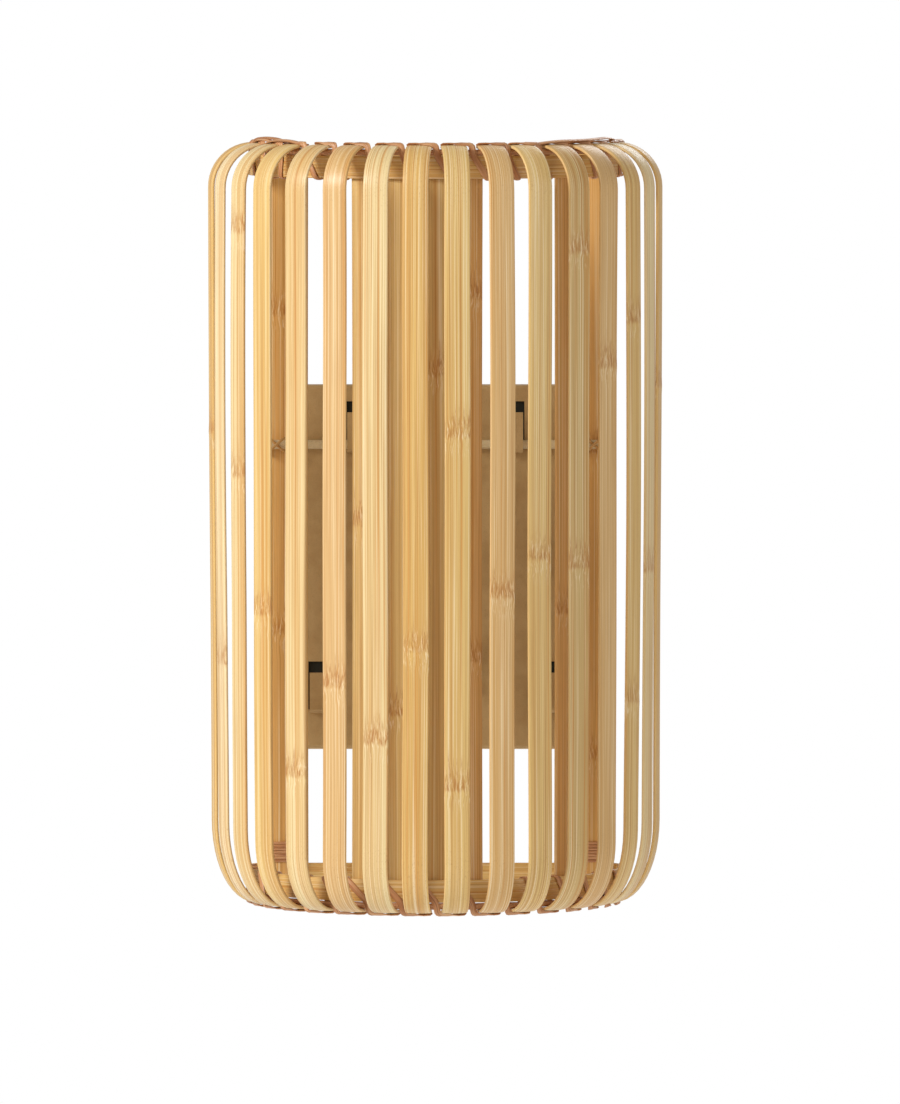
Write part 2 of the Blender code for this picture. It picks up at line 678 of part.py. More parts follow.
def make_lamp(brass, opal):
    """The lamp: its cap, the tip below it and the glass, on the axis that it screws about."""
    screw_axis = axis_at("lamp_axis", (0, -LAMP_FROM_WALL, CAP_BOTTOM))
    axis = Matrix.Translation((0, -LAMP_FROM_WALL, 0))
    radius, collar = CAP_DIAMETER / 2, CAP_COLLAR_DIAMETER / 2
    thread_top = CAP_BOTTOM + CAP_LENGTH
    cap = [
        (0, CAP_TOP),
        (collar, CAP_TOP),
        (collar, thread_top + CAP_COLLAR_HEIGHT * 0.4),
        (radius, thread_top),
        (radius, CAP_BOTTOM + radius * 0.4),
        (radius * 0.6, CAP_BOTTOM),
        (0, CAP_BOTTOM),
    ]
    turned("lamp_cap", cap, axis, brass, screw_axis, steps=FINE_STEPS)
    tip = CAP_TIP_DIAMETER / 2
    low = TIP_TOP - CAP_TIP_HEIGHT
    point = [(0, TIP_TOP), (tip, TIP_TOP), (tip * 0.7, low), (0, low)]
    turned("lamp_tip", point, axis, brass, screw_axis)

    wide = LAMP_DIAMETER / 2
    crown = LAMP_BOTTOM + LAMP_LENGTH - wide
    neck_radius = collar
    shoulder = LAMP_BOTTOM + LAMP_SHOULDER
    outside = arc((0, crown), wide, pi / 2, 0, BEND_STEPS)
    outside += [(wide, shoulder), (neck_radius, LAMP_BOTTOM)]
    inner = wide - LAMP_GLASS_WALL
    inside = [(neck_radius - LAMP_GLASS_WALL, LAMP_BOTTOM), (inner, shoulder)]
    inside += arc((0, crown), inner, 0, pi / 2, BEND_STEPS)
    turned("lamp_glass", outside + inside, axis, opal, screw_axis, steps=FINE_STEPS)


def make_wiring(rubber, white, brass, brown, blue, green):
    """The grommet, the terminal block, the earth screw and the wires between the block and the lampholder."""
    flange, groove = GROMMET_DIAMETER / 2, GROMMET_NECK_DIAMETER / 2
    bore = GROMMET_BORE / 2
    front, back = FIT, -SHEET - FIT
    ring = [
        (flange - GROMMET_LIP / 2, front + GROMMET_LIP),
        (flange, front),
        (groove, front),
        (groove, back),
        (flange, back),
        (flange - GROMMET_LIP / 2, back - GROMMET_LIP),
        (bore, back - GROMMET_LIP),
        (bore, front + GROMMET_LIP),
    ]
    turned("cable_grommet", ring, facing_out(GROMMET_X, -PLATE_DEPTH, GROMMET_Z), rubber, ring=True)

    back_y = -PLATE_DEPTH - FIT
    front_y = back_y - BLOCK_DEPTH
    half_width, half_height = BLOCK_WIDTH / 2, BLOCK_HEIGHT / 2
    low = (BLOCK_X - half_width, front_y, BLOCK_Z - half_height)
    high = (BLOCK_X + half_width, back_y, BLOCK_Z + half_height)
    body = block("terminal_block", low, high, white)
    pitch = BLOCK_WIDTH / BLOCK_POLES
    poles = [BLOCK_X + (number - (BLOCK_POLES - 1) / 2) * pitch for number in range(BLOCK_POLES)]
    for number, x in enumerate(poles, 1):
        deep = front_y + BLOCK_PORT_DEPTH
        drill(body, f"block_port_{number}", x, BLOCK_Z, BLOCK_PORT_DIAMETER, 2 * front_y, deep)

    slotted_screw("earth_screw", EARTH_X, EARTH_Z, SHEET + 2 * SCREW_CLEARANCE, brass)

    wire = WIRE_DIAMETER / 2
    exit_z = low[2] - FIT
    middle_y = (front_y + back_y) / 2
    entry_z = BASE_BOTTOM + HOLDER_BASE_HEIGHT / 2
    colours = (("live", poles[0], brown), ("neutral", poles[1], blue))
    for name, x, material in colours:
        aim = 0.3 * x
        entry_y = -LAMP_FROM_WALL + sqrt((HOLDER_DIAMETER / 2) ** 2 - aim**2) + FIT + wire * 0.2
        start, end = Vector((x, middle_y, exit_z)), Vector((aim, entry_y, entry_z))
        bends = start - Vector((0, 0, WIRE_DROP)), end + Vector((0, WIRE_RUN_IN, 0))
        tube(f"wire_{name}", smooth_run((start, *bends, end), 12), WIRE_DIAMETER, material)
    start = Vector((poles[2], middle_y, exit_z))
    beside_screw = EARTH_X - SCREW_HEAD_DIAMETER / 2 - FIT - wire
    end = Vector((beside_screw, -PLATE_DEPTH - FIT - wire, EARTH_Z))
    drop = Vector((0, 0, EARTH_WIRE_DROP))
    tube("wire_earth", smooth_run((start, start - drop, end + drop, end), 10), WIRE_DIAMETER, green)


def smooth_run(ends, steps):
    """Points on the Bezier curve of four control points."""
    a, b, c, d = ends
    run = []
    for step in range(steps + 1):
        t = step / steps
        s = 1 - t
        run.append(s**3 * a + 3 * s * s * t * b + 3 * s * t * t * c + t**3 * d)
    return run


def main():
    global parts, cutters
    clear_scene()
    parts = collection("bamboo_wall_light")
    cutters = collection("cutters")
    bamboo = finish("bamboo", (0.76, 0.56, 0.30), 0.5)
    cane = finish("cane", (0.56, 0.29, 0.13), 0.55)
    painted = finish("painted_steel", (0.40, 0.30, 0.17), 0.5)
    steel = finish("zinc_plated_steel", (0.55, 0.54, 0.52), 0.35, 1.0)
    brass = finish("brass", (0.75, 0.56, 0.28), 0.3, 1.0)
    brown = finish("brown_insulation", (0.17, 0.07, 0.03), 0.5)
    blue = finish("blue_insulation", (0.05, 0.16, 0.48), 0.5)
    green = finish("green_insulation", (0.12, 0.35, 0.10), 0.5)
    white = finish("white_plastic", (0.80, 0.79, 0.75), 0.4)
    opal = finish("opal_glass", (0.90, 0.88, 0.82), 0.2)
    rubber = finish("black_rubber", (0.03, 0.03, 0.03), 0.7)
    make_shade(bamboo, cane, painted)
    make_plate(painted)
    make_bracket(steel)
    make_arm(painted, steel)
    make_holder(white, brass, steel)
    make_lamp(brass, opal)
    make_wiring(rubber, white, brass, brown, blue, green)


main()
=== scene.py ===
# %% [markdown]
# # A bamboo wall light
#
# This notebook dresses a wall light in its real materials. The light has a half-round shade of bent bamboo
# slats. Cane laces the slats to two hoops, and a steel rod hangs the shade on the hooks of a painted back
# plate. A lampholder and a tubular opal lamp stand inside.
#
# The measured model comes first, as a frame that never moves. Most of its pieces are then replaced by finer
# ones of the same size, and the rest keep their shape and get a better finish.

from math import cos, pi, radians, sin, sqrt

import bpy
import numpy as np
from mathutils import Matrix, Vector


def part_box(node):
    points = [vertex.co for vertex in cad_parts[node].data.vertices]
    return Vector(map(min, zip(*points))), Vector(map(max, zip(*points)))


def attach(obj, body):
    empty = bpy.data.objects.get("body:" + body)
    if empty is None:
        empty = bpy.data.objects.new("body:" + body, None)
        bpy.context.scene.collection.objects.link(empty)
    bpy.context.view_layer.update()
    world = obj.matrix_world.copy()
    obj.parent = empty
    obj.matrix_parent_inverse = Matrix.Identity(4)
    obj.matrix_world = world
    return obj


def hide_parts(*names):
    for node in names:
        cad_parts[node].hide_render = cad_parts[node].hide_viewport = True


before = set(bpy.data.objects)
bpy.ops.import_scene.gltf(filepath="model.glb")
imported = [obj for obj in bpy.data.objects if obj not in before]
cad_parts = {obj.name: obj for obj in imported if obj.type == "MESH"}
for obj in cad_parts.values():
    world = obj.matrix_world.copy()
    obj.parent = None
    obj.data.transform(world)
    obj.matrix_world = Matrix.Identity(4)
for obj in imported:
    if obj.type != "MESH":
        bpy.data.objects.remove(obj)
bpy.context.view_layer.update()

# %% [markdown]
# ## The sizes that the shade is built from
#
# The finer pieces must land exactly where the measured ones are. The middle line of the shade, its height
# and its radius could each be typed in, but reading them off the model keeps the two together if the
# measured model is ever made again.

# %% Read the shade's sizes
MM = 0.001
post_low, post_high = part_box("rear_post_right")
hoop_low, hoop_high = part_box("hoop_band_top")
slat_low, slat_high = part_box("front_slat_08")
rod_low, rod_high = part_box("hanging_rod")

hoop_radius = hoop_high.x
shade_middle_y = hoop_low.y + hoop_radius
shade_middle_z = (slat_low.z + slat_high.z) / 2
half_height = (slat_high.z - slat_low.z) / 2
slat_width, slat_thickness, slat_bend = 11.2 * MM, 1.6 * MM, 19.5 * MM
slat_radius, slat_tip = hoop_radius + 18 * MM, hoop_radius - 3 * MM
slat_spread, slat_count = radians(160.5), 16
slat_pitch = slat_spread / (slat_count - 1)
slat_angles = [(number - (slat_count - 1) / 2) * slat_pitch for number in range(slat_count)]
band_top = hoop_high.z - shade_middle_z
band_bottom = hoop_low.z - shade_middle_z
print(f"hoop radius {hoop_radius / MM:.1f} mm, shade {2 * half_height / MM:.1f} mm high")

# %% [markdown]
# ## Finishes, one step at a time
#
# A finish in Blender is a small network of steps. Each could be wired by hand in the editor. Here one short
# helper adds a step: a plain number or colour is set on the step's own socket, and the output of another
# step is joined to it. That keeps each recipe readable from top to bottom.

# %% Helpers for finishes
def paint(red, green, blue):
    """A colour given as a paint chart does, from 0 to 255, turned into light values."""
    chart = [part / 255 for part in (red, green, blue)]
    return tuple(part / 12.92 if part < 0.04045 else ((part + 0.055) / 1.055) ** 2.4 for part in chart) + (1,)


def step(finish, kind, inputs=None, **settings):
    """One step of a finish. An input is a number, a colour, or another step's output."""
    made = finish.node_tree.nodes.new("ShaderNode" + kind)
    for name, value in settings.items():
        setattr(made, name, value)
    for name, value in (inputs or {}).items():
        if isinstance(value, bpy.types.NodeSocket):
            finish.node_tree.links.new(value, made.inputs[name])
        else:
            made.inputs[name].default_value = value
    return made


def surface(name, **inputs):
    """A finish with nothing but its shader, and that shader."""
    finish = bpy.data.materials.new(name)
    finish.use_nodes = True
    shader = finish.node_tree.nodes["Principled BSDF"]
    for socket, value in inputs.items():
        shader.inputs[socket.replace("_", " ")].default_value = value
    return finish, shader


def join(finish, shader, **outputs):
    for socket, output in outputs.items():
        finish.node_tree.links.new(output, shader.inputs[socket.replace("_", " ")])


print("a mid straw is", [round(part, 3) for part in paint(222, 190, 128)[:3]])

# %% [markdown]
# ## Steps that every finish uses
#
# Four kinds of step make all the finishes here: arithmetic, a range spread out into another, soft noise, and
# one colour laid over another. Stretched noise gives fibres and streaks, even noise gives wear. Most colours
# are built up like stains on wood, so one helper lays a list of them over each other.

# %% Name the common steps
def sums(finish, operation, a, b=0.0, c=0.0):
    return step(finish, "Math", {0: a, 1: b, 2: c}, operation=operation).outputs[0]


def times(finish, a, b, plus=0.0):
    """a times b, plus a third value."""
    return sums(finish, "MULTIPLY_ADD", a, b, plus)


def spread_out(finish, value, low, high, to_low=0.0, to_high=1.0, kind="SMOOTHSTEP"):
    """Turns a value between low and high into one between to_low and to_high."""
    inputs = {"Value": value, "From Min": low, "From Max": high, "To Min": to_low, "To Max": to_high}
    return step(finish, "MapRange", inputs, interpolation_type=kind).outputs[0]


def cloudy(finish, where, scale, detail, roughness=0.5):
    """Soft noise, stretched by a different scale along each direction."""
    stretched = step(finish, "VectorMath", {0: where, 1: scale}, operation="MULTIPLY").outputs[0]
    inputs = {"Vector": stretched, "Scale": 1.0, "Detail": detail, "Roughness": roughness}
    return step(finish, "TexNoise", inputs).outputs[0]


def blended(finish, amount, a, b):
    """Colour a turned towards colour b by an amount."""
    made = step(finish, "Mix", {"Factor": amount}, data_type="RGBA")
    for socket, colour in ((made.inputs[6], a), (made.inputs[7], b)):
        if isinstance(colour, bpy.types.NodeSocket):
            finish.node_tree.links.new(colour, socket)
        else:
            socket.default_value = colour
    return made.outputs[2]


def layered(finish, tone, *layers):
    """Lays colours over a tone: what shows each one, from which value to which, how much, and the colour."""
    for shown_by, low, high, most, colour in layers:
        tone = blended(finish, spread_out(finish, shown_by, low, high, 0.0, most), tone, colour)
    return tone


def noted(finish, name, output="Vector"):
    """A measurement that every point of a piece carries."""
    return step(finish, "Attribute", attribute_name=name).outputs[output]


def own_place(finish):
    return step(finish, "TexCoord").outputs["Object"]


def relief(finish, height, strength, depth):
    """Fine relief, too small to model, with its depth in metres."""
    return step(finish, "Bump", {"Height": height, "Strength": strength, "Distance": depth}).outputs[0]


print("common steps: arithmetic, ranges, noise, layers of colour and relief")

# %% [markdown]
# ## Split bamboo
#
# A slat is split from a thick bamboo stem, planed and given a thin clear coat. Its look comes from the
# fibres, which run dead straight from end to end in fine pale and brown lines. Every thirty centimetres or
# so the stem had a joint, where the fibres swerve and leave a feathery brown mark with a sharp lower edge.
# The sawn edges are browner than the skin, and bends open small dark pores.
#
# A picture of bamboo could be wrapped round each slat, but it would repeat. Instead each slat carries its
# own measurements at every point: how far across and along it the point is, how far from the nearest joint
# mark, whether it is on a sawn edge, and the slat's own stain. The finish reads those.

# %% The fibres of bamboo
def swerving_place(finish, joint):
    """Where a point lies across and along its slat. Near a joint the fibres swerve, so it is pushed about."""
    place = noted(finish, "fibre")
    near = spread_out(finish, sums(finish, "ABSOLUTE", joint), 0.002, 0.013, 1.0, 0.0)
    sway = sums(finish, "SUBTRACT", cloudy(finish, place, (260, 95, 1), 1.0), 0.5)
    across, along, strip = step(finish, "SeparateXYZ", {0: place}).outputs
    swerved = times(finish, times(finish, sway, near), 0.0028, across)
    return place, step(finish, "CombineXYZ", {"X": swerved, "Y": along, "Z": strip}).outputs[0]


def fibres(finish, where, stain):
    """The slat's stain under broad bands, orange and brown lines, pale lines and fine hairs."""
    bands = cloudy(finish, where, (360, 2.2, 1), 1.0)
    lines = cloudy(finish, where, (1900, 5, 1), 3.0, 0.62)
    hairs = cloudy(finish, where, (5200, 24, 1), 2.0)
    orange = cloudy(finish, where, (1500, 3, 1), 1.0)
    tone = layered(
        finish, stain,
        (bands, 0.42, 0.66, 0.60, paint(206, 156, 82)),
        (orange, 0.58, 0.69, 0.62, paint(206, 136, 54)),
        (lines, 0.52, 0.65, 0.52, paint(178, 122, 60)),
        (lines, 0.48, 0.35, 0.55, paint(248, 229, 188)),
        (hairs, 0.52, 0.70, 0.26, paint(156, 104, 48)),
    )
    return tone, lines, hairs


print("fibres: broad bands, lines of two colours, and hairs")

# %% The joint marks, the pores and the whole bamboo finish
def joint_mark(finish, place, where, joint, lines, tone):
    """Short brown and pale dashes that fan out from a joint and end below in a ragged line."""
    ragged = sums(finish, "SUBTRACT", cloudy(finish, place, (700, 0, 1), 2.0), 0.5)
    dashes = cloudy(finish, where, (1700, 165, 1), 3.0, 0.65)
    above = times(finish, ragged, 0.0040, joint)
    edge = spread_out(finish, above, -0.0016, 0.0006)
    reach = times(finish, sums(finish, "SUBTRACT", lines, 0.5), 0.042, above)
    mark = times(finish, edge, spread_out(finish, reach, 0.0015, 0.0120, 1.0, 0.0))
    wide_mark = spread_out(finish, sums(finish, "ABSOLUTE", above), 0.0020, 0.0130, 1.0, 0.0)
    brown = times(finish, mark, spread_out(finish, dashes, 0.46, 0.60, 0.0, 0.72))
    pale = times(finish, wide_mark, spread_out(finish, dashes, 0.46, 0.34, 0.0, 0.62))
    tone = blended(finish, times(finish, mark, 0.24), tone, paint(190, 128, 56))
    tone = blended(finish, brown, tone, paint(172, 106, 36))
    return mark, blended(finish, pale, tone, paint(248, 228, 186))


def bamboo_finish(name):
    finish, shader = surface(name, Coat_Weight=0.25, Coat_Roughness=0.32, Specular_IOR_Level=0.4)
    joint, sawn, bent = step(finish, "SeparateXYZ", {0: noted(finish, "marks")}).outputs
    place, where = swerving_place(finish, joint)
    tone, lines, hairs = fibres(finish, where, noted(finish, "stain", "Color"))
    mark, tone = joint_mark(finish, place, where, joint, lines, tone)

    # Pores show everywhere a little, and more where the slat is bent.
    pores = spread_out(finish, cloudy(finish, where, (4200, 900, 1), 1.0), 0.60, 0.72)
    pores = times(finish, pores, spread_out(finish, bent, 0.0, 1.0, 0.06, 0.34, "LINEAR"))
    tone = blended(finish, pores, tone, paint(160, 106, 50))
    tone = blended(finish, times(finish, sawn, 0.40), tone, paint(234, 196, 134))
    gloss = times(finish, sawn, 0.15, times(finish, lines, 0.20, 0.38))
    height = times(finish, mark, 0.6, times(finish, hairs, 0.5, lines))
    height = times(finish, pores, -0.8, height)
    join(finish, shader, Base_Color=tone, Roughness=gloss, Normal=relief(finish, height, 0.30, 0.22 * MM))
    return finish


bamboo = bamboo_finish("split_bamboo")
print("steps in the bamboo finish:", len(bamboo.node_tree.nodes))

# %% [markdown]
# ## Split cane
#
# The lacing is the shiny skin of rattan, peeled off in flat strips. It is redder than the bamboo, with long
# streaks and a darker line where the skin has cracked. The bamboo recipe could be reused, but cane has no
# joint marks or sawn edges at this size, so a shorter recipe of streaks is clearer.

# %% The cane finish
def cane_finish(name):
    finish, shader = surface(name, Coat_Weight=0.2, Coat_Roughness=0.35)
    place = noted(finish, "fibre")
    streaks = cloudy(finish, place, (2400, 32, 1), 3.0, 0.6)
    patches = cloudy(finish, place, (260, 70, 1), 2.0)
    tone = layered(
        finish, paint(206, 152, 104),
        (patches, 0.35, 0.65, 1.0, paint(184, 122, 74)),
        (streaks, 0.50, 0.68, 0.75, paint(128, 76, 38)),
        (streaks, 0.46, 0.32, 0.55, paint(232, 190, 142)),
    )
    gloss = times(finish, streaks, 0.25, 0.36)
    join(finish, shader, Base_Color=tone, Roughness=gloss, Normal=relief(finish, streaks, 0.35, 0.20 * MM))
    return finish


cane = cane_finish("split_cane")
print("steps in the cane finish:", len(cane.node_tree.nodes))

# %% [markdown]
# ## Painted and plated steel
#
# The plate and the arm have a tan powder coat, which dries with a fine pebbled skin. The rod's is cream and
# the lashing wire's the colour of straw. The screws, spacers, rivets and bracket are zinc plated: grey metal
# with faint blotches and rubbed marks. Both are even on a small scale and vary on a large one, so two noises
# of different size make each of them, placed by the object's own coordinates.

# %% The metal finishes
def powder_coat(name, colour, darker):
    finish, shader = surface(name, Specular_IOR_Level=0.45)
    pebbles = cloudy(finish, own_place(finish), (2600, 2600, 2600), 2.0)
    wear = cloudy(finish, own_place(finish), (55, 55, 55), 4.0, 0.6)
    worn, pebbled = (wear, 0.35, 0.70, 1.0, darker), (pebbles, 0.52, 0.72, 0.22, paint(92, 70, 44))
    tone = layered(finish, colour, worn, pebbled)
    gloss = times(finish, wear, 0.22, 0.40)
    join(finish, shader, Base_Color=tone, Roughness=gloss, Normal=relief(finish, pebbles, 0.45, 0.12 * MM))
    return finish


def bare_metal(name, colour, stained, low_gloss=0.24):
    finish, shader = surface(name, Metallic=1.0)
    blotches = cloudy(finish, own_place(finish), (240, 240, 240), 4.0, 0.6)
    rubbed = cloudy(finish, own_place(finish), (5200, 900, 5200), 2.0)
    tone = layered(finish, colour, (blotches, 0.40, 0.68, 1.0, stained))
    gloss = times(finish, rubbed, 0.10, times(finish, blotches, 0.28, low_gloss))
    join(finish, shader, Base_Color=tone, Roughness=gloss, Normal=relief(finish, rubbed, 0.2, 0.05 * MM))
    return finish


tan_coat = powder_coat("tan_powder_coat", paint(200, 168, 116), paint(184, 150, 98))
cream_coat = powder_coat("cream_powder_coat", paint(224, 204, 162), paint(210, 188, 142))
straw_coat = powder_coat("straw_coated_wire", paint(214, 168, 102), paint(198, 150, 86))
zinc = bare_metal("zinc_plate", (0.62, 0.61, 0.58, 1), (0.48, 0.47, 0.43, 1))
brass = bare_metal("brass", (0.78, 0.58, 0.28, 1), (0.60, 0.42, 0.18, 1))
nickel = bare_metal("nickelled_cap", (0.68, 0.65, 0.58, 1), (0.52, 0.48, 0.40, 1), 0.20)
print("metals:", [finish.name for finish in (tan_coat, cream_coat, straw_coat, zinc, brass, nickel)])

# %% [markdown]
# ## Mouldings, rubber, painted-shade pads and opal glass
#
# The lampholder is moulded in white plastic and the grommet in rubber. Dark olive pads that close the hook
# windows are painted shade, standing in for the shadow behind the plate. All show a faint flow mottling in
# colour and gloss. The lamp's glass is milky right through, which a little scattering under the surface
# gives, with a clear gloss on top.

# %% The moulded and glass finishes
def moulded(name, colour, marbled, gloss, pitted=0.04 * MM, scatter=0.0):
    finish, shader = surface(name, Subsurface_Weight=scatter, Subsurface_Scale=0.003)
    flow = cloudy(finish, own_place(finish), (120, 120, 60), 4.0, 0.55)
    grain = cloudy(finish, own_place(finish), (3600, 3600, 3600), 1.0)
    tone = layered(finish, colour, (flow, 0.35, 0.70, 1.0, marbled))
    gloss = times(finish, flow, 0.18, gloss)
    join(finish, shader, Base_Color=tone, Roughness=gloss, Normal=relief(finish, grain, 0.3, pitted))
    return finish


white_moulding = moulded("white_moulding", paint(232, 229, 220), paint(222, 217, 205), 0.30, scatter=0.15)
rubber = moulded("black_rubber", paint(38, 37, 36), paint(52, 50, 48), 0.58, pitted=0.12 * MM)
# The pads' dark olive is painted shade for the shadow that shows through the hook windows.
painted_shade_foam = moulded("olive_painted_shade_foam", paint(44, 44, 32), paint(30, 30, 22), 0.75, pitted=0.4 * MM)
opal = moulded("opal_glass", paint(246, 243, 234), paint(240, 235, 222), 0.10, pitted=0.01 * MM, scatter=0.5)
print("mouldings:", [finish.name for finish in (white_moulding, rubber, painted_shade_foam, opal)])

# %% [markdown]
# ## Wire insulation
#
# Each wire has its colour, and the earth wire has a yellow stripe laid round it in a slow spiral. A picture
# of stripes would have to be fitted to each wire's length, so the finish counts turns instead, from the same
# across-and-along measurements as the bamboo.

# %% The insulation finishes
def insulation(name, colour, stripe):
    """Wire covering. A stripe of the second colour winds slowly round it."""
    finish, shader = surface(name, Specular_IOR_Level=0.45)
    place = noted(finish, "fibre")
    around, along, _ = step(finish, "SeparateXYZ", {0: place}).outputs
    turned = sums(finish, "FRACT", times(finish, along, 40.0, times(finish, around, 160.0)))
    inside = times(finish, spread_out(finish, turned, 0.30, 0.33), spread_out(finish, turned, 0.70, 0.67))
    scuffs = cloudy(finish, place, (900, 120, 1), 3.0)
    tone = blended(finish, inside, colour, stripe)
    tone = layered(finish, tone, (scuffs, 0.45, 0.75, 0.25, paint(120, 112, 100)))
    join(finish, shader, Base_Color=tone, Roughness=times(finish, scuffs, 0.3, 0.34))
    return finish


brown_wire = insulation("brown_insulation", paint(104, 64, 38), paint(96, 58, 34))
blue_wire = insulation("blue_insulation", paint(44, 96, 168), paint(38, 88, 158))
earth_wire = insulation("green_insulation", paint(64, 140, 66), paint(226, 204, 58))
print("wires' finishes:", [finish.name for finish in (brown_wire, blue_wire, earth_wire)])

# %% [markdown]
# ## Building a piece
#
# Every strip, wire and turned part here is one idea: an outline carried along a line, or round an axis, with
# the rings joined into a skin. Blender's curve tools do this too, but they don't store where a point lies
# across and along the strip, and the finishes need that. So one helper joins rings, and another makes the
# object, sets it on the body that it moves with, and hides the measured pieces that it stands for.

# %% Join rings and make a piece
def skin(rings, ring_closed=True, line_closed=False):
    """Faces that join rings of points, and close both ends of an open line."""
    count, size = rings.shape[:2]
    faces = []
    for ring in range(count if line_closed else count - 1):
        after = (ring + 1) % count
        for point in range(size if ring_closed else size - 1):
            beside = (point + 1) % size
            this_ring, next_ring = ring * size, after * size
            faces.append((this_ring + point, this_ring + beside, next_ring + beside, next_ring + point))
    if not line_closed:
        faces.append(tuple(range(size - 1, -1, -1)))
        faces.append(tuple((count - 1) * size + point for point in range(size)))
    return faces


def piece(name, points, faces, finish, body, stands_for, notes=None, sharp=35):
    """A finished object from its points and faces. notes holds what the finish reads at each point."""
    mesh = bpy.data.meshes.new(name)
    mesh.from_pydata(np.asarray(points, float).reshape(-1, 3).tolist(), [], faces)
    for note, values in (notes or {}).items():
        kind, field = ("FLOAT_COLOR", "color") if note == "stain" else ("FLOAT_VECTOR", "vector")
        held = mesh.attributes.new(note, kind, "POINT")
        held.data.foreach_set(field, np.asarray(values, np.float32).ravel())
    mesh.materials.append(finish)
    mesh.shade_smooth()
    mesh.set_sharp_from_angle(angle=radians(sharp))
    made = bpy.data.objects.new(name, mesh)
    bpy.context.scene.collection.objects.link(made)
    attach(made, body)
    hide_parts(*stands_for)
    return made


print("a tube of 3 rings of 8 points has", len(skin(np.zeros((3, 8, 3)))), "faces")

# %% Follow a line
def unit(vectors):
    """The same directions, each 1 long."""
    return vectors / np.linalg.norm(vectors, axis=-1, keepdims=True)


def frames_along(line, outward, closed):
    """For each point of a line: its direction, its outward direction and the direction across it."""
    if closed:
        ahead = unit(np.roll(line, -1, 0) - np.roll(line, 1, 0))
    else:
        ahead = unit(np.gradient(line, axis=0))
    out = unit(outward - ahead * (outward * ahead).sum(1, keepdims=True))
    return ahead, out, np.cross(ahead, out)


def length_along(line):
    steps = np.linalg.norm(np.diff(line, axis=0), axis=1)
    return np.concatenate([[0], np.cumsum(steps)])


def measured(size, *values):
    """Three measurements for every point of every ring. Each can be the same along the line, or round it."""
    return np.stack([np.broadcast_to(value, size) for value in values], -1)


def all_facing(direction, count):
    """The same direction, or place, for every point of a line."""
    return np.tile(np.array(direction, float), (count, 1))


print("a half circle of radius 1 is", round(length_along(np.array(
    [(cos(turn), sin(turn), 0) for turn in np.linspace(0, pi, 200)]))[-1], 3), "long")

# %% [markdown]
# ## The outline of a split slat
#
# Cut across, a slat isn't a plain rectangle. Its outer face keeps a little of the stem's roundness, its
# edges are eased with sandpaper, and its back is flat. A rectangle with a Bevel modifier would ease the
# edges but not crown the face, so the outline is drawn point by point from the width and the thickness.

# %% Draw the outline
def slat_outline(width, thickness, crown, ease):
    """Points round a strip as (across, depth below the outer face), and which of them are sawn edge."""
    half = width / 2
    shoulder = half - ease
    outer = [(across, crown * (across / half) ** 2) for across in np.linspace(-shoulder, shoulder, 7)]
    drop = outer[-1][1]
    rounding = [radians(degrees) for degrees in (30, 60, 90)]
    right = [(shoulder + ease * sin(turn), drop + ease * (1 - cos(turn))) for turn in rounding]
    under = min(ease, 0.3 * thickness)
    right += [(half, thickness - under), (half - 0.3 * under, thickness - 0.3 * under)]
    back = [(across, thickness) for across in np.linspace(half - under, -half + under, 4)]
    left = [(-across, depth) for across, depth in reversed(right)]
    sawn_right = [0.2, 0.7, 1, 1, 0.7]
    sawn = [0] * len(outer) + sawn_right + [0] * len(back) + sawn_right[::-1]
    return np.array(outer + right + back + left), np.array(sawn, float)


slat_shape = slat_outline(slat_width, slat_thickness, crown=0.30 * MM, ease=0.62 * MM)
print("points round a slat:", len(slat_shape[0]))

# %% [markdown]
# ## Turned pieces
#
# Pins, screws, the lampholder and the lamp are round, and one outline turned about its axis makes each of
# them. A Screw modifier could do it, but then the outline would have to be an object of its own. A thread is
# the exception to plain turning: its radius swells and sinks from turn to turn, so the helper takes that too.

# %% Turn a profile
AXIS = 0.01  # an outline stops this many mm short of its axis, where a flat face closes it


def turned(name, profile, centre, finish, body, slot, stands_for=(), steps=56, ring=False, facing_room=False,
           sharp=35, swell=0.0):
    """A profile of (radius, height) points in mm, turned about an axis that points up or faces the room."""
    radii, heights = np.array(profile, float).T * MM
    turns = np.arange(steps)[:, None] * 2 * pi / steps
    radii = radii + swell
    points = np.stack(np.broadcast_arrays(np.cos(turns) * radii, np.sin(turns) * radii, heights), -1)
    if facing_room:
        points = points[..., [0, 2, 1]] * np.array([1, -1, 1])
    faces = skin(points, ring_closed=ring, line_closed=True)
    if not ring:
        size = len(profile)
        faces.append(tuple(number * size for number in range(steps)))
        faces.append(tuple(number * size + size - 1 for number in range(steps - 1, -1, -1)))
    made = piece(name, points + np.array(centre), faces, finish, body, stands_for, sharp=sharp)
    made.data.validate()
    return made


def arc(radius, height, low, high, count):
    """Points on part of an ellipse, as (radius, height), for domes."""
    return [(radius * cos(turn), height * sin(turn)) for turn in np.linspace(low, high, count)]


print("a dome's outline:", [(round(r, 1), round(z, 1)) for r, z in arc(1, 1, 0, pi / 2, 3)])

# %% [markdown]
# ## A strip of bamboo along any line
#
# Front slats, inner slats, posts and hoops are all strips, straight or bent. One helper carries the outline
# along the line, raises a low ridge at each joint, and notes the measurements that the finish reads. The
# slight side-to-side wander of hand-split strips is added to the line beforehand, so no two are alike.

# %% Lay a strip
STAINS = {
    "pale": paint(244, 222, 174),
    "straw": paint(230, 204, 148),
    "honey": paint(224, 183, 108),
    "golden": paint(223, 187, 116),
    "rosy": paint(217, 176, 116),
    "tan": paint(208, 173, 110),
    "amber": paint(224, 172, 98),
}
ridge_height, ridge_length = 0.16 * MM, 1.3 * MM
mark_reach, far_away = 30 * MM, 10


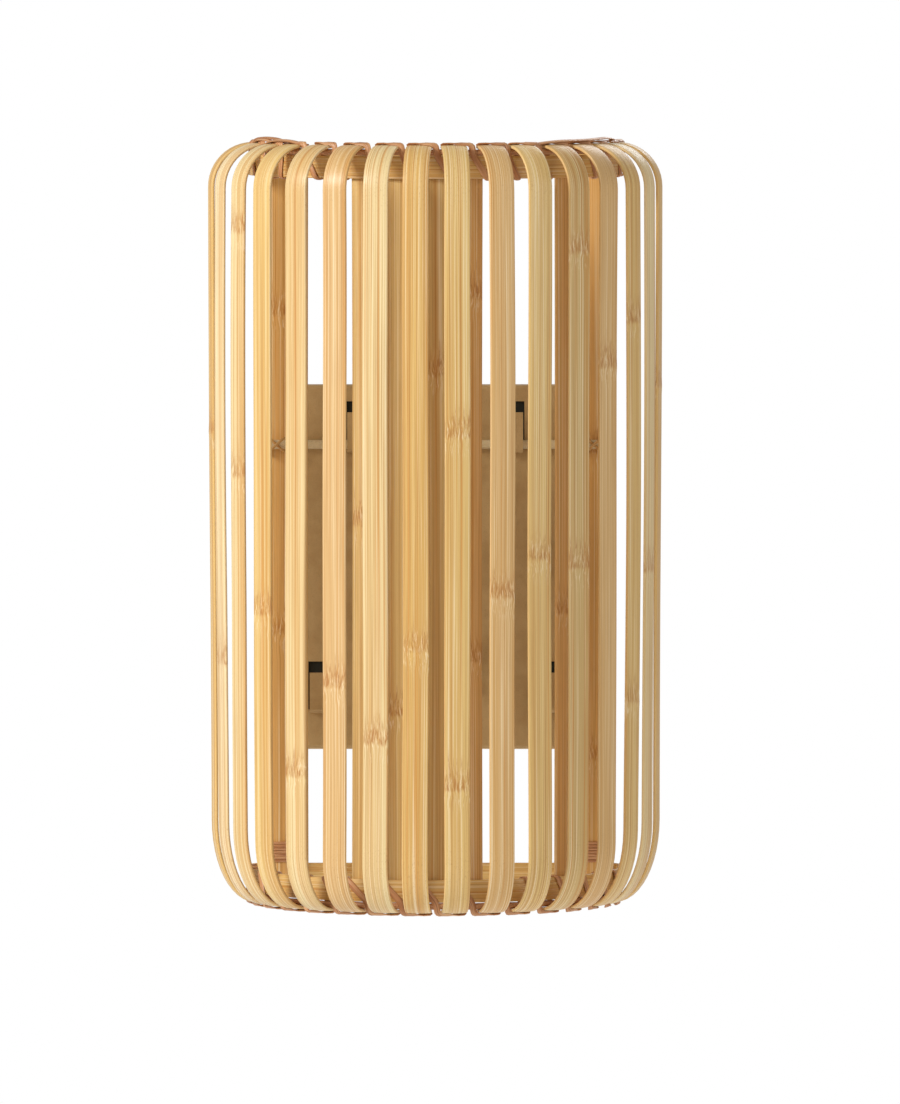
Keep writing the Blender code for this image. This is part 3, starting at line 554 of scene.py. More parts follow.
def lay_strip(name, line, outward, number, stain, joints, shape, stands_for, bends=0.0, closed=False):
    """A bamboo strip whose outer face follows the line. joints are distances along it."""
    points, sawn = shape
    _, out, across = frames_along(line, outward, closed)
    along = length_along(line)
    away = along[:, None] - np.array(joints or [far_away])[None, :]
    nearest = away[np.arange(len(along)), np.abs(away).argmin(1)]
    ridge = ridge_height * np.exp(-((nearest / ridge_length) ** 2))
    # Halfway between two joints the sign of the distance changes. Far values keep that change from showing.
    nearest = np.where(np.abs(nearest) > mark_reach, np.sign(nearest) * far_away, nearest)
    on_skin = (1 - sawn) * (points[:, 1] < 0.5 * MM)
    depth = points[None, :, 1] - ridge[:, None] * on_skin
    rings = line[:, None] + across[:, None] * points[None, :, :1] - out[:, None] * depth[..., None]
    size = rings.shape[:2]
    notes = {
        "fibre": measured(size, points[:, 0] + 0.6 * points[:, 1], along[:, None], 7.31 * number),
        "marks": measured(size, -nearest[:, None], sawn, np.reshape(bends, (-1, 1))),
        "stain": np.broadcast_to(STAINS[stain], (*size, 4)),
    }
    return piece(name, rings, skin(rings, line_closed=closed), bamboo, "shade", stands_for, notes)


print("stains:", ", ".join(STAINS))

# %% [markdown]
# ## The front slats
#
# Sixteen slats stand in a half circle and bend in over the hoops at both ends. The maker heats a straight
# slat and bends it round a former, so its width never changes. The line is therefore a flat tip, a quarter
# turn, a long straight and the same again. Each slat gets its own stain, sideways bow and joint heights,
# because cut from different stems no two match.

# %% The line of a front slat
def slat_profile(foot):
    """A slat seen from its edge: radius, height, which way its face points, and how sharply it is bent."""
    centre_r, top_z, foot_z = slat_radius - slat_bend, half_height - slat_bend, half_height - foot
    turns = np.linspace(pi / 2, 0, 13)
    tips = np.linspace(slat_tip, centre_r, 3)[:-1]
    top = [(r, half_height, 0.0, 1.0, 0.6) for r in tips]
    top += [(centre_r + slat_bend * cos(t), top_z + slat_bend * sin(t), cos(t), sin(t), 1.0) for t in turns]
    bottom = [
        (centre_r + slat_bend * cos(t), -foot_z - foot * sin(t), cos(t) * foot, -sin(t) * slat_bend, 1.0)
        for t in turns[::-1]
    ]
    bottom += [(r, -half_height, 0.0, -1.0, 0.6) for r in tips[::-1]]
    heights = np.linspace(top_z, -foot_z, 71)[1:-1]
    easing = np.clip(1 - np.minimum(top_z - heights, heights + foot_z) / (12 * MM), 0, 1)
    middle = [(slat_radius, z, 1.0, 0.0, bent) for z, bent in zip(heights, easing)]
    return np.array(top + middle + bottom).T


def slat_line(angle, shifts, sink, foot):
    """The outer face of a front slat from its top tip to its bottom tip, where it faces, and its bends."""
    r, z, out_r, out_z, bends = slat_profile(foot)
    share = np.clip((half_height - z) / (2 * half_height), 0, 1)
    r = r - sink * share**2 * np.clip(1.6 - share, 0.6, 1) * (r - slat_tip) / (slat_radius - slat_tip)
    above, halfway, below = np.array(shifts) * MM
    side = above * (1 - share) * (1 - 2 * share) + below * share * (2 * share - 1)
    side += 4 * halfway * share * (1 - share) + 0.2 * MM * np.sin(9 * share + 40 * angle)
    line = np.stack([r * sin(angle), shade_middle_y - r * cos(angle), shade_middle_z + z], 1)
    line += side[:, None] * np.array([cos(angle), sin(angle), 0])
    return line, unit(np.stack([out_r * sin(angle), -out_r * cos(angle), out_z], 1)), bends


print("points along a slat:", len(slat_profile(24 * MM)[0]))

# %% Make the front slats
# For each slat: stain, sideways shift at the top, middle and bottom, how far its foot sits in, the height of
# its foot's bend, and the heights of its joint marks, all in mm.
FRONT_SLATS = [
    ("honey", (0.8, 1.4, 0.8), 2.4, 36, [40]),
    ("pale", (-1.0, -2.6, -0.6), 2.6, 36, [-60]),
    ("straw", (0.0, -1.8, -0.8), 2.2, 34, [128, 22]),
    ("golden", (-0.8, -1.4, -0.5), 1.0, 30, [-37]),
    ("straw", (0.5, 0.3, 0.4), 0.3, 27, [-106]),
    ("rosy", (1.4, 1.6, 1.2), 0.0, 25, [-67]),
    ("straw", (1.7, 1.9, 1.6), 0.0, 24, [-91]),
    ("honey", (0.8, 1.0, 0.7), 0.0, 24, [-51]),
    ("golden", (0.7, 0.4, 0.7), 0.0, 24, [41, -111]),
    ("rosy", (1.5, 1.8, 1.4), 0.0, 24, [-28]),
    ("golden", (0.9, 0.6, 0.9), 0.0, 25, [-12]),
    ("tan", (2.0, 2.4, 1.8), 0.3, 27, [-16, 120]),
    ("rosy", (2.0, 1.4, 1.6), 0.8, 30, [70]),
    ("golden", (1.7, 3.0, 1.2), 1.4, 34, [89, -76]),
    ("straw", (0.8, 1.8, 0.6), 1.8, 36, [-20]),
    ("honey", (0.0, -0.8, 0.0), 1.8, 36, [60]),
]
tip_run = slat_radius - slat_bend - slat_tip + slat_bend * pi / 2
for number, (angle, character) in enumerate(zip(slat_angles, FRONT_SLATS), 1):
    stain, shifts, sink, foot, heights = character
    line, outward, bends = slat_line(angle, shifts, sink * MM, foot * MM)
    joints = [tip_run + half_height - slat_bend - height * MM for height in heights]
    name = f"front_slat_{number:02d}"
    lay_strip(name + "_bamboo", line, outward, number, stain, joints, slat_shape, [name], bends)
print("front slats:", len(FRONT_SLATS))

# %% [markdown]
# ## The inner slats and the rear posts
#
# Six straight slats are glued inside the hoops, and two thicker posts stand at the back corners to carry
# the rod. They are the same strip on a straight line. The posts are nearly square split bamboo, with the
# skin side facing the room.

# %% Make the inner slats
INNER_SLATS = [(-48.5, "golden", [60]), (-23, "golden", [2]), (-11.8, "golden", [-80]), (0, "golden", [67]),
               (11.1, "amber", [-57, 100]), (45.3, "amber", [-37])]
face = sqrt((hoop_radius - 2.3 * MM) ** 2 - (slat_width / 2) ** 2)
heights = np.linspace(band_top, -band_top, 76)
for number, (degrees, stain, knots) in enumerate(INNER_SLATS, 1):
    angle = radians(degrees)
    side = 0.35 * MM * np.sin(pi * (heights / band_top + 1) / 2) * (-1) ** number
    across = shade_middle_y - face * cos(angle) + side * sin(angle)
    line = np.stack([face * sin(angle) + side * cos(angle), across, shade_middle_z + heights], 1)
    outward = all_facing((sin(angle), -cos(angle), 0), len(line))
    joints = [band_top - height * MM for height in knots]
    name = f"inner_slat_{number:02d}"
    lay_strip(name + "_bamboo", line, outward, 30 + number, stain, joints, slat_shape, [name])
print("inner slats:", len(INNER_SLATS))

# %% Make the rear posts
post_shape = slat_outline(post_high.x - post_low.x, post_high.y - post_low.y, crown=0.5 * MM, ease=0.7 * MM)
for number, where, knots in ((41, "left", [90, -50]), (42, "right", [30, -105])):
    name = f"rear_post_{where}"
    low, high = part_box(name)
    line = all_facing(((low.x + high.x) / 2, low.y, shade_middle_z), len(heights))
    line[:, 2] += heights
    outward = all_facing((0, -1, 0), len(heights))
    joints = [band_top - height * MM for height in knots]
    lay_strip(name + "_bamboo", line, outward, number, "amber", joints, post_shape, [name])
print("posts: 2, of", round((post_high.x - post_low.x) / MM, 1), "mm")

# %% [markdown]
# ## The hoops
#
# Each hoop is one long strip bent into a D, whose ends overlap behind the flat side and are pinned. A single
# closed loop would be simpler, but a real hoop has to start somewhere, so a short lap with two brass pins
# shows where. The grain runs round the hoop, as the strip was bent with its skin outside.

# %% The line of a hoop
def hoop_line():
    """The outer face of a hoop from above, half a circle in front and a straight back with round corners."""
    corner = 8 * MM
    corner_y, side = hoop_high.y - corner, hoop_radius - corner
    front = [(hoop_radius * cos(t), shade_middle_y + hoop_radius * sin(t)) for t in np.linspace(-pi, 0, 110)]
    right = [(side + corner * cos(t), corner_y + corner * sin(t)) for t in np.linspace(0, pi / 2, 9)]
    back = [(x, corner_y + corner) for x in np.linspace(side, -side, 40)[1:-1]]
    left = [(-side + corner * cos(t), corner_y + corner * sin(t)) for t in np.linspace(pi / 2, pi, 9)]
    flank = np.linspace(shade_middle_y, corner_y, 6)[1:-1]
    right_flank, left_flank = [(hoop_radius, y) for y in flank], [(-hoop_radius, y) for y in flank[::-1]]
    return np.array(front + right_flank + right + back + left + left_flank)


print("points round a hoop:", len(hoop_line()))

# %% Make the hoops
band_width = band_top - band_bottom
band_shape = slat_outline(band_width, 2 * MM, crown=0.22 * MM, ease=0.35 * MM)
lap_shape = slat_outline(band_width - 0.4 * MM, 1.5 * MM, crown=0.1 * MM, ease=0.3 * MM)
lap_x = np.linspace(24, -24, 17) * MM
pin = [(AXIS, -1.2), (0.6, -1.2), (0.6, 0), *arc(1.3, 0.7, 0, 0.49 * pi, 7)]
for where, side, number, joints in (("top", 1, 51, (58, 330)), ("bottom", -1, 52, (175, 400))):
    middle = shade_middle_z + side * (band_top + band_bottom) / 2
    loop = hoop_line()
    line = np.column_stack([loop, np.full(len(loop), middle)])
    ahead = unit(np.roll(line, -1, 0) - np.roll(line, 1, 0))
    outward = np.cross(ahead, [0.0, 0.0, 1.0])
    lay_strip(f"hoop_{where}_bamboo", line, outward, number, "honey", [joint * MM for joint in joints],
              band_shape, ["hoop_band_" + where], closed=True)

    lap_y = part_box("hoop_band_" + where)[1].y - 2.15 * MM
    lap = np.column_stack([lap_x, np.full(len(lap_x), lap_y), np.full(len(lap_x), middle)])
    outward = all_facing((0, 1, 0), len(lap))
    lay_strip(f"hoop_{where}_lap", lap, outward, number + 10, "honey", [], lap_shape, [])
    for end, x in (("left", -16 * MM), ("right", 16 * MM)):
        place = (x, lap_y - 1.5 * MM, middle)
        turned(f"hoop_{where}_pin_{end}", pin, place, brass, "shade", "brass", facing_room=True, steps=24)
print("hoops: 2, round", round(2 * hoop_radius / MM), "mm across")

# %% [markdown]
# ## Rounded lines for cane and wire
#
# Cane goes over an edge in a tight bend, never in a sharp corner. A line of corner points is rounded here by
# replacing each corner with a short curve, and the side that faces out turns with it, so that flat cane lies
# flat on whatever it crosses.

# %% Round a line's corners
def filled_in(line, out, spacing):
    """The line with points added so that none are further apart than about the spacing."""
    full_line, full_out = [line[0]], [out[0]]
    for here in range(len(line) - 1):
        pieces = max(1, int(np.linalg.norm(line[here + 1] - line[here]) / spacing))
        for part in range(1, pieces + 1):
            t = part / pieces
            full_line.append(line[here] * (1 - t) + line[here + 1] * t)
            full_out.append(out[here] * (1 - t) + out[here + 1] * t)
    return np.array(full_line), np.array(full_out)


def rounded_line(corners, facing, bend, spacing, closed=False):
    """A smooth line through corner points. facing gives the outward direction of each stretch."""
    corners, facing = np.array(corners, float), unit(np.array(facing, float))
    count = len(corners)
    line, out = [], []
    for here in range(count):
        if not closed and here in (0, count - 1):
            line.append(corners[here])
            out.append(facing[0] if here == 0 else facing[-1])
            continue
        before, after = corners[here - 1], corners[(here + 1) % count]
        come, go = before - corners[here], after - corners[here]
        reach = min(bend, 0.45 * np.linalg.norm(come), 0.45 * np.linalg.norm(go))
        start, end = corners[here] + unit(come) * reach, corners[here] + unit(go) * reach
        turn_from, turn_to = facing[here - 1], facing[here % len(facing)]
        for t in np.linspace(0, 1, 5):
            line.append((1 - t) ** 2 * start + 2 * t * (1 - t) * corners[here] + t * t * end)
            out.append((1 - t) * turn_from + t * turn_to)
    if not closed:
        return filled_in(line, out, spacing)
    line, out = filled_in(line + line[:1], out + out[:1], spacing)
    return line[:-1], out[:-1]


trial, _ = rounded_line([(0, 0, 0), (1, 0, 0), (1, 1, 0)], [(0, 0, 1)] * 2, 0.2, 0.3)
print("a corner of three points becomes", len(trial), "points")

# %% Lay a round or flat line
def lay_round(name, line, outward, shape, finish, body, stands_for, number=0, closed=False, scale=1.0):
    """A wire, rod or cane of any small outline along a line. scale thins it towards its ends."""
    _, out, across = frames_along(line, outward, closed)
    beside, outside = across[:, None] * shape[None, :, :1], -out[:, None] * shape[None, :, 1:]
    rings = line[:, None] + (beside + outside) * np.reshape(scale, (-1, 1, 1))
    faces = skin(rings, line_closed=closed)
    fibre = measured(rings.shape[:2], length_along(shape), length_along(line)[:, None], 5.77 * number)
    return piece(name, rings, faces, finish, body, stands_for, {"fibre": fibre})


def lay_cane(name, line, outward, shape, number, stands_for=(), scale=1.0):
    return lay_round(name, line, outward, shape, cane, "shade", stands_for, number, scale=scale)


def circle(radius, count):
    turns = np.arange(count) * 2 * pi / count
    return np.stack([radius * np.cos(turns), -radius * np.sin(turns)], 1)


def flat_cane(width, thickness):
    """The outline of a cane strip: flat underneath, gently rounded on top."""
    half, low = width / 2, thickness / 2
    points = [(-1, 0.3), (-0.8, -0.55), (-0.35, -1), (0.35, -1), (0.8, -0.55), (1, 0.3), (0.8, 1), (-0.8, 1)]
    return np.array(points) * (half, low)


cane_shape = flat_cane(2.9 * MM, 0.8 * MM)
print("a cane strip has", len(cane_shape), "points round it")

# %% [markdown]
# ## The rims and their lacing
#
# A round cane lies on each hoop under the slats' ends. One long flat strip then laces everything together:
# over a slat's end, out, down across the band on a slant, under it and up behind to the next slat. A curve
# drawn by hand could do it, but a list of stops for one slat, turned to each slat's place, keeps every
# stitch right when a slat moves.

# %% Find the lacing's way
inner_angles = [radians(degrees) for degrees, _, _ in INNER_SLATS]
lean, before_slat = 0.09 * slat_pitch, 0.05 * slat_pitch


def in_shade(angle, radius, height):
    """A place in the shade. The angle is 0 at the front, and the height is from the shade's middle."""
    return (radius * sin(angle), shade_middle_y - radius * cos(angle), shade_middle_z + height)


def beside_inner_slats(angle, side):
    """The nearest angle where the cane can pass down behind the hoop clear of the inner slats."""
    reach = (slat_width / 2 + 1.6 * MM) / (hoop_radius - 2 * MM)
    for inner in inner_angles:
        low, high = side * inner - reach, side * inner + reach + lean
        if low < angle < high:
            return low if angle - low < slat_pitch / 2 else high
    return angle


def slat_ends(side):
    """The angles of the slats' ends along one hoop, where each slat really ends."""
    shifts = [character[1][0 if side > 0 else 2] * MM / hoop_radius for character in FRONT_SLATS]
    ends = sorted(side * (angle + shift) for angle, shift in zip(slat_angles, shifts))
    return ends + [ends[-1] + slat_pitch]


def lacing(side):
    """The corners of the lacing, and which way the strip faces between them."""
    outside, inside = hoop_radius + 0.55 * MM, slat_tip - 0.55 * MM
    over, arch, under = half_height + 0.42 * MM, half_height + 0.62 * MM, band_bottom - 0.45 * MM
    ends = slat_ends(side)
    behind = [beside_inner_slats(angle - before_slat, side) for angle in ends[:-1]] + [ends[-1] - before_slat]
    corners, facing = [in_shade(side * (behind[0] - lean / 2), inside, side * under)], []
    for number in range(slat_count):
        gap = (ends[number] + ends[number + 1]) / 2
        stops = [
            (behind[number], inside, band_top + 1 * MM),
            (ends[number] - 0.36 * slat_pitch, inside, over),
            (ends[number] + 0.03 * slat_pitch, (inside + outside) / 2, arch),
            (gap - 0.03 * slat_pitch, outside, over),
            (gap, outside, band_top + 0.6 * MM),
            (behind[number + 1] - lean, outside, under),
            (behind[number + 1] - lean / 2, inside, under),
        ]
        corners += [in_shade(side * turn, radius, side * height) for turn, radius, height in stops]
        out = np.array([sin(side * ends[number]), -cos(side * ends[number]), 0])
        up = np.array([0, 0, side])
        facing += [-out, up - out, up - 0.3 * out, up + 0.4 * out, out, out, -up]
    return corners, facing


print("corners in the top lacing:", len(lacing(1)[0]))

# %% Lace the rims
count = 90
turns = np.linspace(radians(-86), radians(86), count)
blunt_ends = np.ones(count)
blunt_ends[[0, -1]], blunt_ends[[1, -2]] = 0.55, 0.9
rim_shape = circle(1.42 * MM, 14)
for where, side in (("top", 1), ("bottom", -1)):
    low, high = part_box("rim_core_" + where)
    core_z = (low.z + high.z) / 2 - shade_middle_z
    wavy = 0.12 * MM * np.sin(23 * turns)
    line = np.array([in_shade(turn, hoop_radius - 1 * MM, core_z + rise) for turn, rise in zip(turns, wavy)])
    outward = all_facing((0, 0, 1), count)
    lay_cane(f"rim_{where}_cane", line, outward, rim_shape, side, ["rim_core_" + where], blunt_ends)
    corners, facing = lacing(side)
    line, outward = rounded_line(corners, facing, 2.1 * MM, 2.6 * MM)
    lay_cane(f"lacing_{where}_cane", line, outward, cane_shape, 3 + side, ["lacing_" + where])
print("laced", slat_count, "slats to each of 2 hoops")

# %% [markdown]
# ## The lacing's tucked ends
#
# The lacer starts and ends by tucking the strip along the rim. That leaves three short strips lying side by
# side at one end of the top rim and a long one at the other. They are laid here as separate strips whose
# heights rise over the slats' ends and sink at both tips.

# %% Tuck the ends
def along_rim(name, start, end, radius, rises, number):
    """A strip tucked along the rim over the slats' ends. rises are its heights above them, in mm."""
    share = np.linspace(0, 1, 34)
    rise = np.interp(share, np.linspace(0, 1, len(rises)), rises)
    rise = half_height + np.convolve(np.pad(rise, 4, "edge"), np.ones(9) / 9, "valid") * MM
    turns, wander = radians(start) + share * radians(end - start), (radius + 0.6 * np.sin(5 * share)) * MM
    line = np.array([in_shade(*place) for place in zip(turns, wander, rise)])
    return lay_cane(name, line, all_facing((0, -0.25, 1), len(line)), cane_shape, number)


# Each strip: the angles where it starts and ends, its distance from the shade's middle, and its heights.
TUCKED = [
    (-81, -52, 79.8, (-0.8, 1.5, 2.2, 2.3, 1.8, -0.6)),
    (-65, -43, 81.8, (-0.8, 1.4, 1.5, -0.6)),
    (-75, -58, 81.2, (-0.4, 1.4, 1.4, -0.4)),
    (29, 80, 80.8, (-0.6, 1.4, 1.5, 1.5, 2.1, 2.2, -0.2)),
]
for number, (start, end, radius, rises) in enumerate(TUCKED, 1):
    along_rim(f"tucked_cane_{number}", start, end, radius, rises, 20 + number)
print("tucked ends:", len(TUCKED))

# %% [markdown]
# ## Bindings on the posts
#
# Above the bottom hoop each post is bound with a few turns of narrow cane, and a straw-coloured wire crosses
# over the rod and round the post to hold it. Both are lines wound round a rectangle with rounded corners.

# %% Wind a binding round a post
turns_wound, wound_pitch, wound_cane = 7, 1.3 * MM, flat_cane(1.25 * MM, 0.5 * MM)


def wind(where):
    low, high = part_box("rear_post_" + where)
    low_z = shade_middle_z - band_bottom + 0.9 * MM
    gap = 0.42 * MM
    left, right, front, back = low.x - gap, high.x + gap, low.y - gap, high.y + gap
    ring = [(left, back), (left, front), (right, front), (right, back)]
    sides = [(-1, 0, 0), (0, -1, 0), (1, 0, 0), (0, 1, 0)]
    corners = [(*ring[corner % 4], low_z + wound_pitch * corner / 4) for corner in range(4 * turns_wound + 1)]
    line, outward = rounded_line(corners, sides * turns_wound, 0.8 * MM, 4 * MM)
    return lay_cane(f"post_binding_{where}", line, outward, wound_cane, 31, ["post_wrap_" + where])


print("a binding is", round(turns_wound * wound_pitch / MM, 1), "mm tall")

# %% Bind both posts, lash the rod and lay it
rod_y, rod_z = (rod_low.y + rod_high.y) / 2, (rod_low.z + rod_high.z) / 2


def lash(where):
    low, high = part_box("rear_post_" + where)
    middle, half = (low.x + high.x) / 2, (high.x - low.x) / 2
    clear = 0.9 * MM
    beside, above = half + clear, 2 * MM + clear
    back, front = high.y + clear, rod_low.y - clear
    crossing = front - 1.5 * MM
    path = [
        (-beside, low.y, above), (-beside / 2, front, above), (0, front, 0), (beside / 2, front, -above),
        (beside, low.y, -above), (beside, back, -above), (-beside, back, -above), (-beside, low.y, -above),
        (-beside / 2, crossing, -above), (0, crossing, 0), (beside / 2, crossing, above),
        (beside, low.y, above), (beside, back, above), (-beside, back, above),
    ]
    corners = [(middle + x, y, rod_z + z) for x, y, z in path]
    line, outward = rounded_line(corners, [(0.3, -1, 0.2)] * len(corners), 1.6 * MM, 2 * MM, closed=True)
    return lay_round(f"rod_lashing_{where}_wire", line, outward, circle(0.6 * MM, 10), straw_coat, "shade",
                     ["rod_lashing_" + where], closed=True)


for where in ("left", "right"):
    wind(where)
    lash(where)

# The rod's ends are domed: how far from the end, in mm, and how thick there.
near_end, domed = np.array([0, 0.15, 0.5]) * MM, [0.6, 0.85, 0.97]
straight = np.linspace(rod_low.x + 1.2 * MM, rod_high.x - 1.2 * MM, 40)
rod_x = np.concatenate([rod_low.x + near_end, straight, rod_high.x - near_end[::-1]])
line = np.column_stack([rod_x, np.full(len(rod_x), rod_y), np.full(len(rod_x), rod_z)])
thickness = domed + [1] * len(straight) + domed[::-1]
outward = all_facing((0, 0, 1), len(line))
lay_round("hanging_rod_steel", line, outward, circle(1.98 * MM, 20), cream_coat, "shade",
          ["hanging_rod"], scale=thickness)
print("rod", round((rod_high.x - rod_low.x) / MM, 1), "mm long")

# %% [markdown]
# ## The lampholder
#
# The holder is moulded in two parts that screw together, with grip grooves round the shell and a ring thread
# round the base. Both are turned. The shell's outline has its corners rounded first, because moulded things
# have no sharp edge, and the grooves repeat in a loop.

# %% Make the lampholder's shell
def soft_corners(profile, bend):
    """A closed profile with each corner rounded."""
    flat = [(r, 0.0, z) for r, z in profile]
    line, _ = rounded_line(flat, [(0, 1, 0)] * len(flat), bend, 50, closed=True)
    return line[:, [0, 2]]


shell_low, shell_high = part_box("holder_shell")
lamp_y = (shell_low.y + shell_high.y) / 2
wide, tall = (shell_high.x - shell_low.x) / 2 / MM, (shell_high.z - shell_low.z) / MM
bore = 8.55
shell = [(bore, 0), (wide - 1.6, 0), (wide - 1.6, -2.4), (wide - 0.9, -3.2)]
for groove in range(5):
    top, deep = -7 - 3.2 * groove, wide - 1.1
    shell += [(wide - 0.5, top), (deep, top - 0.5), (deep, top - 1.1), (wide - 0.5, top - 1.6)]
shell += [(wide, 2.6 - tall), (wide, -tall), (bore, -tall)]
turned("holder_shell_moulding", soft_corners(shell, 0.35), (0, lamp_y, shell_high.z), white_moulding,
       "wall_unit", "white_plastic", ["holder_shell"], ring=True)
print("lamp axis", round(-lamp_y / MM, 1), "mm from the wall, holder", round(2 * wide, 1), "mm across")

# %% Make the lampholder's base
base_low, base_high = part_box("holder_base")
neck, waist, tall = 4.8, wide - 1.4, (base_high.z - base_low.z) / MM
base = [(AXIS, 0), (wide - 0.1, 0), (wide - 0.1, -9.5), (waist, -11), (waist, -13.6), (neck, -13.9)]
for thread in range(8):
    z = -14.3 - 0.95 * thread
    base += [(neck - 0.35, z), (neck, z - 0.45)]
base += [(neck - 0.4, -tall), (AXIS, -tall)]
turned("holder_base_moulding", base, (0, lamp_y, base_high.z), white_moulding, "wall_unit", "white_plastic",
       ["holder_base"], sharp=25)
print("lampholder", round((shell_high.z - base_low.z) / MM, 1), "mm tall")

# %% [markdown]
# ## The lamp's cap
#
# The cap is thin plated metal with a rolled thread, and a drop of solder closes its foot. The thread could be
# a helix of its own, but in rolled metal it is only the wall rising and falling, so the radius swells along a
# spiral and fades out at both ends. The cap and the tip ride on the body that rises as the lamp is turned.

# %% Make the cap and its tip
cap_low, cap_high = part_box("lamp_cap")
cap_tall = (cap_high.z - cap_low.z) / MM
pitch, depth, rings, turn_count = 2.82, 0.42, 64, 48
foot, collar = [(2.6, 0), (4.4, 0.1), (6.2, 1.6)], [(7.1, -2.9), (8.55, -2.2), (8.75, -1.2), (8.55, 0)]
thread_z = np.linspace(2.9, cap_tall - 3.4, rings)
share = np.linspace(0, 1, rings)
turns = np.arange(turn_count)[:, None] * 2 * pi / turn_count
rolled = 0.5 - 0.5 * np.cos(turns - 2 * pi * (thread_z + cap_low.z / MM) / pitch)
swell = -depth * MM * np.clip(np.minimum(share, 1 - share) * 12, 0, 1) * rolled
swell = np.hstack([np.zeros((turn_count, len(foot))), swell, np.zeros((turn_count, len(collar)))])
profile = foot + [(6.85, z) for z in thread_z] + [(r, cap_tall + z) for r, z in collar]
turned("lamp_cap_thread", profile[::-1], (0, lamp_y, cap_low.z), nickel, "lamp_base", "brass", ["lamp_cap"],
       steps=turn_count, sharp=60, swell=swell[:, ::-1])

tip_low, tip_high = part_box("lamp_tip")
drop = [(r, -0.5 - z) for r, z in arc(2.2, 0.95, 0, 0.48 * pi, 7)]
tip = [(AXIS, 0), (2.2, 0), *drop, (AXIS, 0.02 - (tip_high.z - tip_low.z) / MM)]
turned("lamp_tip_solder", tip, (0, lamp_y, tip_high.z), zinc, "lamp_base", "brass", ["lamp_tip"], steps=32)
print("cap", round(cap_tall, 1), "mm tall, thread pitch", pitch, "mm")

# %% [markdown]
# ## The lamp's glass
#
# A tube of opal glass with a domed end is sealed into the cap's collar. It turns as the lamp is screwed, so
# it rides on a body of its own. A plain tube would look solid through its open foot, so the wall has a real
# inner face inside the outer one.

# %% Make the glass
glass_low, glass_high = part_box("lamp_glass")
wide, tall = (glass_high.x - glass_low.x) / 2 / MM, (glass_high.z - glass_low.z) / MM
dome_z = tall - wide
dome = [(r, dome_z + z) for r, z in arc(wide, wide, 0.497 * pi, 0, 18)]
neck = [(0, 14), (-0.3, 10), (-1.3, 6.5), (-3, 3.4), (-4.6, 1.3), (-5.2, 0)]
outside = dome + [(wide + r, z) for r, z in neck]
wall, inside_top = 0.9, dome_z + (wide - 1) * 0.94
inside = [(r - wall, min(z, inside_top)) for r, z in outside[:0:-1] if r > 1.5]
turned("lamp_glass_opal", outside + inside, (0, lamp_y, glass_low.z), opal, "lamp_bulb", "opal_glass",
       ["lamp_glass"], sharp=50)
print("lamp", round((glass_high.z - tip_low.z) / MM, 1), "mm long")

# %% [markdown]
# ## The grommet and the terminal block
#
# The mains cable comes through a rubber grommet in the plate to a three-way terminal block: a base, three
# towers, and two turrets on each tower with a clamping screw in each. They repeat, so two loops and two
# outlines make the whole block. The base and the towers are boxes with a Bevel modifier to ease their edges.

# %% Fit the grommet
grommet_low, grommet_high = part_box("cable_grommet")
middle = (grommet_low + grommet_high) / 2
wide, thick = (grommet_high.x - grommet_low.x) / 2 / MM, (grommet_high.y - grommet_low.y) / MM
lip = [(3.5, 0.5), (4.2, 0), (6.0, 0.2), (wide, 1.1), (wide - 0.1, 1.45), (5.0, 1.5)]
ring = [(r, thick - z) for r, z in lip] + lip[::-1]
turned("cable_grommet_rubber", ring, (middle.x, grommet_high.y, middle.z), rubber, "wall_unit",
       "black_rubber", ["cable_grommet"], ring=True, facing_room=True, steps=48)
print("grommet", round(2 * wide, 1), "mm across")

# %% Fit the terminal block
def rounded_block(name, low, high, edge, finish, stands_for=()):
    """A moulded block with eased edges."""
    corners = [(x, y, z) for x in (low[0], high[0]) for y in (low[1], high[1]) for z in (low[2], high[2])]
    faces = [(0, 1, 3, 2), (4, 6, 7, 5), (0, 4, 5, 1), (2, 3, 7, 6), (0, 2, 6, 4), (1, 5, 7, 3)]
    made = piece(name, corners, faces, finish, "wall_unit", stands_for)
    ease = made.modifiers.new("eased_edges", "BEVEL")
    ease.width, ease.segments = edge, 3
    made.data.shade_smooth()
    return made


block_low, block_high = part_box("terminal_block")
pole, depth = (block_high.x - block_low.x) / 3, block_high.y - block_low.y
half, z = 0.5 * pole - 0.5 * MM, (block_low.z + block_high.z) / 2
base_y, tower_y = block_high.y - 0.45 * depth, block_low.y + 0.4 * depth
turret = [(1.3, 4.6), (2.0, 4.6), (2.4, 4.2), (2.5, 0), (1.3, 0)]
screw = [(AXIS, 0.6), (0.95, 0.6), (1.2, 0.3), (1.2, -2), (AXIS, -2)]
rounded_block("terminal_block_base", (block_low.x, base_y, block_low.z), block_high, 0.5 * MM, white_moulding,
              ["terminal_block"])
for number in range(3):
    x = block_low.x + (number + 0.5) * pole
    low = (x - half, tower_y, block_low.z + 0.3 * MM)
    high = (x + half, base_y + 0.2 * MM, block_high.z - 0.3 * MM)
    rounded_block(f"terminal_tower_{number + 1}", low, high, 0.9 * MM, white_moulding)
    for where, lift in (("upper", 2.9 * MM), ("lower", -2.9 * MM)):
        turret_place, screw_place = [(x, block_low.y + behind * MM, z + lift) for behind in (4.9, 3)]
        turned(f"terminal_turret_{number + 1}_{where}", turret, turret_place, white_moulding, "wall_unit",
               "white_plastic", ring=True, facing_room=True, steps=28)
        turned(f"terminal_screw_{number + 1}_{where}", screw, screw_place, zinc, "wall_unit", "plated_steel",
               facing_room=True, steps=24)
print("terminal block", round((block_high.x - block_low.x) / MM, 1), "mm wide, with 3 poles")
